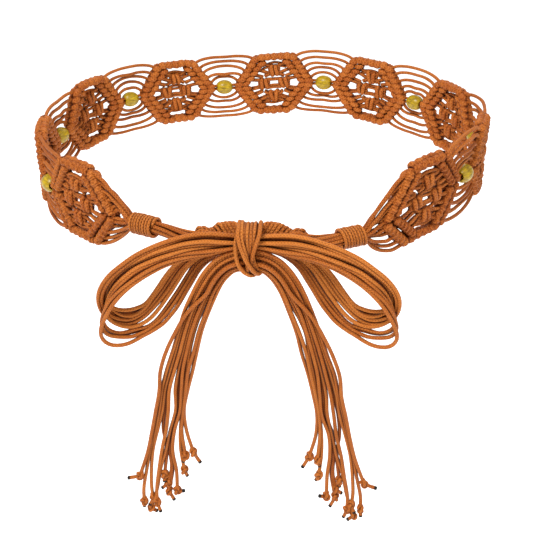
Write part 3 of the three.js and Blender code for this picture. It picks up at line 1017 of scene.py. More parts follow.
    def build(self, dresser: Dresser) -> None:
        """Makes the panel's piece: its frame, the four square knots and the bare cords between.

        Args:
            dresser: Holds the finishes and makes the piece.
        """
        for right in (-1, 1):
            for up in (-1, 1):
                self.ridges(right, up)
        for up in (-1, 1):
            self.edge(up)
        for right in (-1, 1):
            self.bump((right * (self.corner(self.ridge / 2)[0] - 1.0), 0), 0.0, *self.tip_bump)
        for place in ((-self.knot_along, 0), (self.knot_along, 0), (0, self.knot_up), (0, -self.knot_up)):
            self.square_knot(*place)
        for up in (-1, 1):
            for level in self.overs:
                self.across(self.over_reach, level, 0.5, up, self.over_bows, 0.4)
            for level in self.slot_edges:
                self.across(self.slot_reach, level, 0.6, up, self.slot_bows, 0.3)
            for right in (-1, 1):
                for root, end in self.links:
                    self.pair(root, end, right, up)
        dresser.dress(self.work, f"panel_{self.number}")


@dataclass
class Fan:
    """Twelve bare cords between two panels, two of them through the bead."""

    number: int
    cord_radius: float = 1.06
    gap: float = 14.0
    roots: tuple[float, ...] = (2.2, 6.2, 10.2, 14.4, 18.8)
    middles: tuple[float, ...] = (7.0, 10.6, 14.4, 18.6, 22.6)
    sunk: float = 2.2
    step: float = 1.5
    tones: Span = (0.15, 0.55)
    stations: tuple[float, ...] = (-1.0, -0.78, -0.42, 0.0, 0.42, 0.78, 1.0)
    levels: tuple[float, ...] = (0.0, 0.6, 0.96, 1.0, 0.96, 0.6, 0.0)
    sway: float = 1.1
    slip: float = 0.6
    bead_end: Spot = (4.6, 1.05)
    bead_root: Spot = (2.6, 1.3)
    bead_tone: float = 0.25

    def __post_init__(self) -> None:
        """Sets what follows from the sizes."""
        self.along = (self.number - 4.5) * WAIST.panel_pitch
        self.chance = np.random.default_rng(200 + self.number)
        self.work = CordWork()

    def strand(self, root: float, middle: float, other_root: float) -> None:
        """Lays one cord of the fan.

        Args:
            root: Its height on the first panel's edge.
            middle: Its height half way.
            other_root: Its height on the second panel's edge.
        """
        rows = []
        sway = self.chance.uniform(-self.sway, self.sway, 2)
        for station, level in zip(self.stations, self.levels):
            base = root if station < 0 else other_root
            reach = self.gap / 2 + abs(base) * (OUTLINE.slant / OUTLINE.half) + self.sunk
            free = 1 - abs(station)
            up = base + (middle - base) * level + free * sway[0]
            out = free * sway[1] * 1.6
            rows.append((self.along + station * reach, up, out))
        line = WAIST.bend(rounded(np.array(rows), self.step))
        self.work.lay(line, self.cord_radius, self.chance.uniform(*self.tones))

    def bead_cord(self, lane: int) -> None:
        """Lays one of the two cords that run through the bead.

        Args:
            lane: 1 for the upper cord, -1 for the lower.
        """
        near, high = self.bead_end
        far, root = self.gap / 2 + self.bead_root[0], self.bead_root[1]
        places = ((-far, root), (-near, high), (0, 1.0), (near, high), (far, root))
        line = np.array([[along, lane * up, 0] for along, up in places]) + [self.along, 0, 0]
        self.work.lay(WAIST.bend(rounded(line, self.step)), self.cord_radius, self.bead_tone)

    def build(self, dresser: Dresser) -> None:
        """Makes the fan's piece.

        Args:
            dresser: Holds the finishes and makes the piece.
        """
        for up in (-1, 1):
            for root, middle in zip(self.roots, self.middles):
                shift = self.chance.uniform(-self.slip, self.slip, 3)
                self.strand(up * root + shift[0], up * middle + shift[1], up * root + shift[2])
        for lane in (-1, 1):
            self.bead_cord(lane)
        dresser.dress(self.work, f"fan_{self.number}")


@dataclass
class Bead:
    """A turned wooden bead with a bore, strung on the two middle cords of a fan."""

    number: int
    diameter: float = 10.2
    length: float = 11.2
    bore: float = 4.4
    lip: float = 0.35
    fullness: float = 0.85
    rings: int = 22
    sides: int = 32

    def profile(self) -> np.ndarray:
        """The bead's section from inside the bore, over the outside and back into the bore.

        Returns:
            Rows of distance along the bore, radius and how much painted shade the bore gets there.
        """
        start = math.asin(self.bore / self.diameter)
        angles = np.linspace(start, math.pi - start, self.rings)
        reach = self.length / 2
        stretch = reach / math.cos(start)
        hole = self.bore / 2
        rows = [(-reach * 0.4, hole, 1.0), (-reach + self.lip, hole, 0.8)]
        rows += [
            (-stretch * math.cos(angle), self.diameter / 2 * math.sin(angle) ** self.fullness, 0.0)
            for angle in angles
        ]
        return np.array(rows + [(reach - self.lip, hole, 0.8), (reach * 0.4, hole, 1.0)])

    def build(self, dresser: Dresser) -> None:
        """Makes the bead's piece.

        Args:
            dresser: Holds the finishes and makes the piece.
        """
        along = (self.number - 4.5) * WAIST.panel_pitch
        before, centre, after = WAIST.bend(np.array([[along + step, 0, 0] for step in (-1, 0, 1)]))
        axis = unit(after - before)
        rows = self.profile()
        work = CordWork(sides=self.sides, cord=self.diameter)
        steps = np.arange(len(rows))[:, None] * 1e-4
        spokes = work.spokes(centre + axis * steps, False)
        points = centre + axis * rows[:, 0][:, None, None] + spokes * rows[:, 1][:, None, None]
        work.corners.append(points.reshape(-1, 3))
        work.tones.append(np.zeros(len(rows) * self.sides))
        # The third column is painted shade in the bore, kept in the same channel as the melted tips of
        # cords.
        work.melts_and_bore_shades.append(np.repeat(rows[:, 2], self.sides))
        work.join(len(rows), rows[:, 0] / self.diameter, False)
        dresser.dress(work, f"bead_{self.number}", "turned", Slot.BEAD)


# Ends of the band


@dataclass(frozen=True)
class FrontLine:
    """Where the collars and ties sit along the belt, as in the part's source.

    The places say how the twelve cords lie in the neck, up and out, in shares of its radius.
    """

    last_panel: float = 296.0
    collar_start: float = 335.0
    collar_length: float = 15.0
    tie_start: float = 351.65
    neck_radius: float = 2.75
    places: tuple[Spot, ...] = (
        (0.95, 0.1), (0.7, -0.7), (0.62, 0.62), (0.3, -0.1), (0.22, -0.95), (0.15, 0.95),
        (-0.15, -0.5), (-0.22, 0.45), (-0.5, -0.85), (-0.55, 0.85), (-0.75, 0.0), (-0.98, 0.1),
    )


FRONT = FrontLine()


@dataclass
class EndFan:
    """The twelve cords of an end panel, drawn together into the neck."""

    side: Side
    cord_radius: float = 1.05
    roots: tuple[float, ...] = (20.2, 16.2, 11.6, 7.2, 3.2, 1.1, -1.1, -3.2, -7.2, -11.6, -16.2, -20.2)
    sunk: float = 2.4
    step: float = 1.4
    tones: Span = (0.15, 0.5)
    sway: float = 0.5
    spreads: Span = (0.2, 0.5)
    left_rise: float = 0.3

    def cord(self, root: float, high: float, deep: float, chance: np.random.Generator) -> np.ndarray:
        """The course of one cord.

        Args:
            root: Its height on the panel's edge.
            high: How high it lies in the neck, in shares of the neck's radius.
            deep: How far out it lies there.
            chance: Where its small unevenness comes from.

        Returns:
            Rows of distance along the belt, height and distance out.
        """
        left = self.side is Side.LEFT
        start = OUTLINE.tip - abs(root) * OUTLINE.slant / OUTLINE.half - self.sunk
        spread = self.spreads[0 if left else 1]
        bow = 0.9 + spread + (0.4 + spread) * abs(root) / OUTLINE.half
        rise = self.left_rise * (self.roots[0] - root) if root > 0 and left else 0.0
        neck_at = FRONT.collar_start - FRONT.last_panel
        neck_up, neck_out = high * FRONT.neck_radius, deep * FRONT.neck_radius
        rows = []
        for share in np.linspace(0, 1, 7):
            free = math.sin(math.pi * share)
            along = start + (neck_at - start) * share
            up = root + (neck_up - root) * share**bow + rise * free * (1 - 0.5 * share)
            out = neck_out * share + chance.uniform(-self.sway, self.sway) * free
            rows.append((self.side.value * (FRONT.last_panel + along), up, out))
        rows.append((self.side.value * (FRONT.collar_start + 4), neck_up, neck_out))
        return np.array(rows)

    def build(self, dresser: Dresser) -> None:
        """Makes the piece.

        Args:
            dresser: Holds the finishes and makes the piece.
        """
        chance = np.random.default_rng(300 + self.side.value)
        work = CordWork()
        for root, (high, deep) in zip(self.roots, FRONT.places):
            rows = self.cord(root, high, deep, chance)
            work.lay(WAIST.bend(rounded(rows, self.step)), self.cord_radius, chance.uniform(*self.tones))
        dresser.dress(work, f"end_fan_{self.side.word}")


@dataclass
class Collar:
    """A whipping of cord round the neck, with its melted end beside the neck."""

    side: Side
    diameter: float = 11.4
    cord_radius: float = 0.9
    turns: float = 8.4
    turn_points: int = 26
    lean: float = 0.5
    turn_tone: float = 0.7
    stub_tones: Span = (0.2, 0.4)
    stub_burn: Span = (-1.6, 1.3)

    def build(self, dresser: Dresser) -> None:
        """Makes the piece: the winding, and the stub of its end.

        Args:
            dresser: Holds the finishes and makes the piece.
        """
        chance = np.random.default_rng(400 + self.side.value)
        first, last = WAIST.bend(np.array([
            [self.side.value * (FRONT.collar_start + 0.3), 0, 0],
            [self.side.value * (FRONT.collar_start + FRONT.collar_length), 0, 0],
        ]))
        axis = unit(last - first)
        length = float(np.linalg.norm(last - first))
        outward = unit(np.cross(np.array([0.0, 0.0, 1.0]), axis)) * -self.side.value
        upward = unit(np.cross(axis, outward))
        share = np.linspace(0, 1, int(self.turns * self.turn_points))
        angles = share * self.turns * 2 * math.pi
        radius = self.diameter / 2 - self.cord_radius + 0.12 * np.sin(angles * 0.37 + 1)
        tuck = np.clip(np.minimum(share, 1 - share) * self.turns * 4, 0, 1)
        radius = radius * (0.72 + 0.28 * tuck)
        lean = self.lean * np.cos(angles + 0.8)
        run = self.cord_radius + (length - 2 * self.cord_radius) * share + lean
        path = (
            first + axis * run[:, None]
            + outward * (np.cos(angles) * radius)[:, None]
            + upward * (np.sin(angles) * radius)[:, None]
        )
        work = CordWork()
        work.lay(path, self.cord_radius, self.turn_tone)
        stub_at = first + outward * 3.6 + upward * 1.5
        stub = np.array([stub_at + axis * 2, stub_at - axis * 1.5, stub_at - axis * 4.5 + outward * 0.6])
        line = rounded(stub, 0.8)
        melt_and_bore_shade = np.clip(np.linspace(*self.stub_burn, len(line)), 0, 1)
        work.lay(line, self.cord_radius, chance.uniform(*self.stub_tones), melt_and_bore_shade=melt_and_bore_shade)
        dresser.dress(work, f"collar_{self.side.word}", "whipping")


@dataclass(frozen=True)
class BowLine:
    """Where the bow sits, as in the part's source."""

    centre: float = -1.0
    front: float = -131.0
    knot_depth: float = 15.0
    half_knot_length: float = 54.0
    tie_depth: float = 5.8
    clearance: float = 0.3

    @property
    def half_knot_y(self) -> float:
        """How far forward the half knot lies."""
        return self.front + self.knot_depth / 2 + self.tie_depth / 2 + self.clearance

    def across(self, side: Side, out: float | np.ndarray) -> float | np.ndarray:
        """The place across of what lies out from the knot's middle on one side."""
        return self.centre + side.value * out


BOW = BowLine()


@dataclass
class Tie:
    """The twelve cords between a collar and the half knot.

    The width is the bundle's half width at the collar, and how much it grows to the half knot.
    """

    side: Side
    cord_radius: float = 1.05
    twist: float = 0.9
    width: Span = (2.7, 0.7)
    thickness: float = 2.3
    end_height: float = -9.0
    tones: Span = (0.12, 0.5)

    def build(self, dresser: Dresser) -> None:
        """Makes the piece: the neck's cords along one core line, turning a little as they go.

        Args:
            dresser: Holds the finishes and makes the piece.
        """
        chance = np.random.default_rng(500 + self.side.value)
        sign = self.side.value
        start, onward = WAIST.bend(np.array([
            [sign * (FRONT.tie_start - 5), 0, 0], [sign * (FRONT.tie_start + 2), 0, 0],
        ]))
        end = np.array([BOW.across(self.side, BOW.half_knot_length / 2), BOW.half_knot_y, self.end_height])
        line = np.array([start, onward, (onward + end) / 2 + [0, 0, -0.6], end, end - [sign * 8, -1, 0.5]])
        core = rounded(line, 2.0)
        ways = unit(np.gradient(core, axis=0))
        viewer = np.array([0.0, -1.0, 0.0])
        front = unit(viewer - ways * (ways @ viewer)[:, None])
        wide = np.cross(ways, front)
        share = np.linspace(0, 1, len(core))
        turn = self.twist * share * sign
        spread = self.width[0] + self.width[1] * share
        work = CordWork()
        for high, deep in FRONT.places:
            across = (high * np.cos(turn) - deep * np.sin(turn)) * spread
            depth = (high * np.sin(turn) + deep * np.cos(turn)) * self.thickness
            path = core + wide * across[:, None] + front * depth[:, None]
            work.lay(path, self.cord_radius, chance.uniform(*self.tones))
        dresser.dress(work, f"tie_{self.side.word}")


@dataclass
class HalfKnot:
    """The first crossing of the ties: cords folded over each other in a low ruffle behind the bow.

    A crest is where a cord goes over the top, out from the middle and up, and its course is given as
    distances out, back and up from there. A fold lies along the front, and an under cord runs below all of
    them, each lower than the last by the last number of its places.
    """

    cord_radius: float = 1.06
    crests: tuple[Spot, ...] = (
        (27.0, -5.2), (25.2, -3.0), (23.2, -2.6), (21.2, -3.6), (19.2, -3.2), (17.3, -2.0),
        (15.5, -0.8), (13.7, -0.2), (11.9, 0.2), (10.1, 0.5), (8.3, 0.2), (6.4, -0.3), (4.5, -0.8),
        (2.5, -1.2), (0.7, -1.4),
    )
    course: tuple[Place, ...] = (
        (3.2, 3.4, -12.0), (2.4, 3.2, -5.5), (0.9, 1.8, -0.9), (-0.7, 0.1, -0.1), (-2.6, -1.6, -2.0),
        (-5.2, -2.4, -5.4), (-8.0, -2.6, -10.0),
    )
    nearest: float = 0.2
    sway: float = 0.25
    crest_step: float = 1.1
    crest_tones: Span = (0.3, 0.8)
    folds: tuple[tuple[Spot, ...], ...] = (
        ((14.0, -3.6), (18.0, -4.6), (22.0, -3.8), (24.8, -3.4), (27.2, -5.6), (29.4, -8.4)),
        ((14.0, -5.6), (18.5, -6.5), (22.5, -6.0), (25.4, -6.6), (27.6, -8.8), (29.6, -10.4)),
    )
    fold_depth: float = 1.9
    fold_step: float = 1.3
    fold_tone: float = 0.35
    under: tuple[tuple[float, float, float, float], ...] = (
        (29.0, 0.9, -7.6, 1.3), (18.0, 0.9, -5.8, 1.6), (8.0, 0.6, -2.6, 2.0), (0.0, 0.6, -2.6, 2.2),
    )
    under_cords: int = 6
    under_step: float = 2.0
    under_radius: float = 1.1
    painted_shade_under_tones: Span = (0.05, 0.2)

    def build(self, dresser: Dresser) -> None:
        """Makes the piece.

        Args:
            dresser: Holds the finishes and makes the piece.
        """
        chance = np.random.default_rng(600)
        work = CordWork()
        depth = BOW.half_knot_y
        for side in Side:
            for out, high in self.crests:
                sway, lift = chance.uniform(-self.sway, self.sway, 2)
                rows = np.array(self.course) + [out, depth, high]
                rows[2] += [sway, 0, lift]
                rows[3] += [0, 0, lift]
                rows[:, 0] = BOW.across(side, np.maximum(rows[:, 0], self.nearest))
                tone = chance.uniform(*self.crest_tones)
                work.lay(rounded(rows, self.crest_step), self.cord_radius, tone)
            for fold in self.folds:
                ahead = depth - self.fold_depth
                rows = np.array([[BOW.across(side, out), ahead, high] for out, high in fold])
                work.lay(rounded(rows, self.fold_step), self.cord_radius, self.fold_tone)
            for lane in range(self.under_cords):
                rows = np.array([
                    [BOW.across(side, out), depth + back, high - lane * drop]
                    for out, back, high, drop in self.under
                ])
                # Painted shade: the under cords, lying below the rest, get dark tones.
                tone = chance.uniform(*self.painted_shade_under_tones)
                work.lay(rounded(rows, self.under_step), self.cord_radius * self.under_radius, tone)
        dresser.dress(work, "half_knot")


@dataclass
class BowKnot:
    """The turns that hold the bow: an upright fan of cords, two fillers in it and cords crossing over it.

    Each turn is a row of places on its front: across from the middle, the height and how far forward.
    """

    cord_radius: float = 1.06
    behind: float = 6.4
    corner: float = 3.0
    corner_drop: Span = (0.6, 4.0)
    tones: tuple[float, ...] = (0.5, 0.62, 0.74, 0.86)
    turns: tuple[tuple[Place, ...], ...] = (
        ((-2, 4.2, 1), (-2, 3, 5.6), (-2, 1, 6.9), (-1.7, -1.5, 7.2), (-0.9, -5.1, 7.2), (0.1, -10.2, 7),
         (1, -14.6, 6.4), (1.6, -18.4, 4.5), (1.8, -20, 1.5)),
        ((0.9, 3.4, 0.3), (0.6, -4.0, 4.4), (0.2, -10.0, 4.8), (-0.4, -15.4, 5.2), (-0.5, -18.8, 4.2),
         (-0.5, -19.8, 1.8)),
        ((-0.6, 3.6, 0.5), (-1.2, -3, 4.6), (-0.8, -9.8, 5), (0.4, -15.6, 5.2), (1.2, -18.6, 4.2),
         (1.6, -19.6, 2.0)),
        ((-0.4, 4.4, 1), (-0.4, 3.1, 5.8), (-0.4, 0, 7.3), (-0.3, -3, 7.5), (0.2, -7, 7.4),
         (0.9, -11.9, 7), (1.6, -16.3, 6), (2.2, -19.5, 3.8), (2.4, -20.4, 1)),
        ((1.5, 4.4, 1), (1.5, 3.1, 5.8), (1.4, 0, 7.3), (1.3, -3, 7.4), (1.3, -6.5, 7.2),
         (1.4, -10.8, 6.6), (2.6, -15.2, 5.8), (3.5, -18.4, 4), (3.8, -19.5, 1)),
        ((3.3, 4.7, 1), (3.2, 3.6, 5.6), (3, 0.5, 7), (2.6, -2.5, 7.2), (2.2, -5.5, 6.9),
         (2.2, -9.8, 6.2), (3.2, -14.1, 5.6), (4.6, -17.7, 4), (5.2, -19.1, 1)),
        ((-3.9, 5, 1), (-4.6, 3.5, 5.5), (-5.5, 0, 7.2), (-5.9, -4, 7.4), (-5.8, -8, 7.4),
         (-5, -12.6, 7.3), (-3.5, -15.9, 7), (-1.3, -18.4, 6.6), (1.2, -20, 5.6), (3.6, -19.7, 4.4),
         (5.6, -18.2, 2.6)),
        ((-3.2, 5.2, 1), (-3.1, 3.5, 6.2), (-2.9, 0.7, 8), (-1.9, -3.5, 8.8), (-0.9, -7.3, 9.1),
         (0.2, -11.9, 8.6), (1.4, -15.2, 7.5), (2.9, -18, 5.9), (4.2, -19.5, 3.2)),
        ((5.7, 5.3, 1.2), (5.7, 4.6, 4.6), (5.5, 3.2, 6.9), (5, 1.5, 7.7), (3.9, -1.8, 8.2),
         (2.8, -5.5, 8.3), (1.8, -9.5, 8), (0.9, -12.5, 7.4), (0, -15.7, 6.6), (-0.8, -18.4, 5),
         (-1.6, -20.2, 2)),
        ((-4.6, 5.3, 1.2), (-4.6, 4.7, 4.6), (-4.7, 3.4, 7.2), (-4.4, 1.5, 8.6), (-3.6, -2.2, 9.4),
         (-2.2, -5.9, 10), (-0.5, -10.2, 10.2), (1.4, -13.7, 9.6), (3.1, -16.8, 8), (4.6, -19.1, 5.6),
         (5.8, -20, 2.2)),
    )

    def build(self, dresser: Dresser) -> None:
        """Makes the piece, with each turn closed behind the bow.

        Args:
            dresser: Holds the finishes and makes the piece.
        """
        work = CordWork()
        back = BOW.front + self.behind
        near, far = self.corner_drop
        for index, turn in enumerate(self.turns):
            front = [(BOW.centre + x, BOW.front - ahead, z) for x, z, ahead in turn]
            (first_x, _, first_z), (last_x, _, last_z) = front[0], front[-1]
            path = front + [
                (last_x, back - self.corner, last_z + near), (last_x, back, last_z + far),
                ((first_x + last_x) / 2, back, (first_z + last_z) / 2),
                (first_x, back, first_z - far), (first_x, back - self.corner, first_z - near),
            ]
            line = rounded(np.array(path + path[:1]), 0.9)[:-1]
            work.lay(line, self.cord_radius, self.tones[index % len(self.tones)], closed=True)
        dresser.dress(work, "bow_knot")


@dataclass
class BowLoop:
    """A loop of the bow: cords that go out in front, turn over each other and come back behind.

    A route is a row of places, out from the knot's middle and up. The depths say how far forward the
    bundle's middle lies at shares of a route's length, and the layers how far each route lies in front of
    that. A filler runs between two routes and behind them.
    """

    side: Side
    cord_radius: float = 1.07
    samples: int = 90
    tones: Span = (0.35, 0.9)
    sway: float = 0.3
    sway_rates: Place = (1.3, 2.1, 1.7)
    right_scale: Place = (0.985, 1.0, 0.93)
    shares: tuple[float, ...] = (0, 0.06, 0.2, 0.33, 0.44, 0.52, 0.6, 0.7, 0.8, 0.92, 1)
    depths: tuple[float, ...] = (1.0, 4.0, 8.5, 9.3, 6.5, 3.5, 1.0, -1.5, -3.3, -3.8, -2.5)
    layer_shares: tuple[float, ...] = (0, 0.2, 0.42, 0.62, 0.85, 1)
    routes: tuple[tuple[Spot, ...], ...] = (
        ((1.3, -1.9), (6, -0.5), (12.6, 1.1), (20.5, 2), (29.9, 1.2), (39.5, -1.2), (46.8, -4.4),
         (54.3, -8.5), (61.7, -14.1), (67.8, -20), (72, -25.7), (74.7, -31.4), (75.8, -37.2),
         (75.4, -42.4), (73.7, -46.7), (71, -49.7), (67.6, -51.7), (64.2, -52.7), (60.7, -52.5),
         (57, -51), (53.3, -48.2), (49.6, -44.3), (45.6, -39.6), (41.5, -33.9), (37.7, -27.8),
         (33.5, -21.9), (28.8, -17.1), (23.1, -13.1), (14.6, -10.3), (1.6, -8)),
        ((1.3, -3), (6, -1.9), (12.6, -0.6), (20.6, 0.3), (30, -0.4), (39.6, -3.1), (47, -6.3),
         (54.5, -10.5), (61.4, -16.1), (67.1, -21.8), (71.2, -27.8), (73.6, -33.9), (74.2, -39.1),
         (73.5, -43.4), (71.6, -46.7), (68.8, -48.9), (65.5, -50.2), (62, -50.6), (58.4, -49.4),
         (54.7, -47.1), (51.3, -43.8), (47.5, -39.1), (43.5, -33.5), (39.9, -27.9), (36, -22.2),
         (31.2, -17.1), (25.1, -12.8), (15.6, -10.2), (1.6, -8)),
        ((1.3, -3.8), (6.1, -3.2), (12.6, -2.3), (20.6, -1.5), (30, -2.2), (39.7, -4.9), (47.1, -8.1),
         (54.1, -12.1), (61.2, -17.9), (66.6, -23.8), (70.3, -29.9), (72.3, -35.4), (72.2, -39.6),
         (70.4, -42.6), (67.9, -44.2), (64.5, -45), (61, -44.9), (57.5, -44), (54.1, -42.4),
         (51.5, -39.7), (49, -36.2), (46.3, -32.1), (42.8, -26.6), (38.6, -21.2), (33.7, -16.8),
         (26.6, -12.5), (16.6, -9.9), (1.6, -8)),
        ((1.3, -4.6), (6.1, -4.3), (12.7, -3.7), (20.7, -3.4), (30.1, -4), (39.8, -6.7), (47.2, -10),
         (54.3, -13.8), (61.1, -19.6), (66.2, -25.7), (69.5, -31.5), (71, -36.3), (71.1, -40.9),
         (69.6, -44.8), (66.6, -47.2), (63.2, -48.3), (59.7, -48.1), (56.1, -46.1), (52.9, -43.1),
         (49.7, -38.7), (45.1, -32.7), (41.6, -27.2), (37.4, -21.6), (32.2, -16.8), (25.6, -12.5),
         (16.1, -10), (1.6, -8)),
        ((1.3, -5.2), (6.1, -5.3), (12.7, -5.3), (20.8, -5.4), (30.2, -6), (39.9, -8.6), (47.3, -11.9),
         (53.9, -15.4), (60.3, -20.8), (65.5, -26.8), (69.1, -32.5), (71.5, -38.4), (72.8, -43),
         (72.6, -46.6), (71, -49.5), (68.5, -51.7), (65.6, -53.3), (62.2, -54.1), (58.1, -53.5),
         (53.9, -51.6), (50.2, -48.6), (46.5, -44.2), (43, -39.2), (39.5, -33.9), (35.7, -27.7),
         (32, -21.9), (27.8, -17.3), (22.1, -13.6), (13.6, -10.6), (1.6, -8.6)),
        ((1.3, -5.7), (6.1, -5.8), (12.7, -6.5), (20.8, -7.2), (30.3, -8), (40, -10.4), (47.5, -13.9),
         (53.5, -17), (59.3, -21.8), (64.4, -27.4), (68.4, -33.4), (71.4, -39.5), (73.4, -45.2),
         (74.2, -49.8), (73.1, -53.4), (70.6, -56), (67.5, -57.2), (63.9, -57), (60.3, -55.9),
         (56.7, -55.2), (53.1, -54.7), (49.5, -52.3), (46.2, -48.7), (43, -44.2), (39.7, -39.4),
         (35.7, -33.2), (32.2, -27.3), (28.7, -21.6), (24.8, -17), (19.7, -13.6), (12.1, -11),
         (1.6, -9.1)),
        ((1.4, -6.2), (6.1, -6.2), (12.8, -7.6), (20.9, -8.9), (30.4, -9.9), (40.1, -12.3), (47.6, -16),
         (51.7, -18.6), (57.4, -22.8), (63.2, -27.9), (68.1, -33.6), (71.6, -39.6), (73.9, -45.6),
         (74.9, -50.9), (74.2, -54.8), (71.8, -57.6), (68.6, -58.7), (64.6, -59.4), (60.6, -59.4),
         (56.9, -58.2), (53.3, -56.5), (49.6, -54), (45.3, -50.2), (41.1, -45.1), (37.2, -39.4),
         (33.8, -33.8), (30.4, -27.9), (26.9, -22.1), (23, -17.5), (17.7, -14), (10.6, -11.4),
         (1.7, -9.7)),
        ((1.4, -6.8), (6.1, -6.8), (12.8, -8.4), (20.9, -10.3), (30.5, -11.6), (40.2, -14.2), (47.7, -18),
         (52.3, -20.8), (57.5, -24.6), (62.8, -29.6), (67.1, -35.1), (70.4, -40.6), (73.3, -46.5),
         (75.3, -52.5), (75.6, -57.2), (74.1, -61), (71.3, -63.2), (67.5, -63.9), (62.9, -63.2),
         (58.7, -61.3), (55, -59.1), (51.3, -57.1), (47.6, -54.7), (43.9, -51.8), (40.4, -47.6),
         (37.4, -43.6), (35, -39.6), (32, -34.2), (28.7, -28.4), (25.5, -22.7), (21.8, -18.4),
         (16.7, -14.8), (9.6, -11.9), (1.7, -10.2)),
    )
    layers: tuple[tuple[float, ...], ...] = (
        (0, 0.3, 0.0, -0.4, 0.5, 1.0), (-2, -0.5, -0.5, -0.9, -0.7, -1.0), (2, 0.7, -2.8, -1.2, 0.6, 0.0),
        (0, -0.4, -4.0, -1.0, -0.6, 2.0), (-2, 0.8, -1.2, 0.2, 0.5, -1.0), (2, -0.3, 0.5, -0.3, -0.8, 0.0),
        (0, 0.5, 2.3, 1.0, -0.2, 1.5), (-2, -0.6, 4.0, 2.0, 0.4, -1.5),
    )
    fillers: tuple[tuple[int, int], ...] = ((0, 1), (1, 2), (3, 4), (5, 6))
    filler_depth: float = 1.4
    painted_shade_filler_tone: float = 0.2

    def flat(self, route: tuple[Spot, ...], layers: tuple[float, ...]) -> np.ndarray:
        """A route with its depths, in even steps.

        Args:
            route: Places out from the knot's middle and up.
            layers: How far in front of the bundle's middle it lies, in the order of layer_shares.

        Returns:
            Rows of distance out, distance forward and height.
        """
        places = np.array(route, float)
        share = run_along(places)
        share = share / share[-1]
        ahead = np.interp(share, self.shares, self.depths) + np.interp(share, self.layer_shares, layers)
        curve = rounded(np.column_stack([places[:, 0], ahead, places[:, 1]]), 1.0)
        return read_off(np.linspace(0, len(curve) - 1, self.samples), np.arange(len(curve)), curve)

    def build(self, dresser: Dresser) -> None:
        """Makes the piece.

        Args:
            dresser: Holds the finishes and makes the piece.
        """
        chance = np.random.default_rng(700 + (self.side is Side.RIGHT))
        lines = [self.flat(route, layers) for route, layers in zip(self.routes, self.layers)]
        tones = list(chance.uniform(*self.tones, len(lines)))
        for first, second in self.fillers:
            lines.append((lines[first] + lines[second]) / 2 - [0, self.filler_depth, 0])
            # Painted shade: the fillers, lying behind the routes, get a dark tone.
            tones.append(self.painted_shade_filler_tone)
        share = np.linspace(0, 1, self.samples)
        free = np.sin(math.pi * share)[:, None]
        work = CordWork()
        for line, tone in zip(lines, tones):
            waves = [np.sin(2 * math.pi * (share * rate + chance.uniform())) for rate in self.sway_rates]
            line = line + np.stack(waves, axis=1) * free * self.sway * chance.uniform(0.3, 1.0)
            if self.side is Side.RIGHT:
                line = line * self.right_scale
            path = np.column_stack([BOW.across(self.side, line[:, 0]), BOW.front - line[:, 1], line[:, 2]])
            work.lay(path, self.cord_radius, tone)
        dresser.dress(work, f"bow_loop_{self.side.word}")


@dataclass(frozen=True)
class FreeEnd:
    """One free end of the belt.

    Its lane says where it leaves the bow knot, from 0 at the top to 1 at the bottom, and its layer how
    far it lies in front of the rest. Its outs are its distances out at the tail's levels, and its knot
    and tip are places out and up.
    """

    lane: float
    layer: float
    outs: tuple[float, ...]
    knot: Spot
    tip: Spot


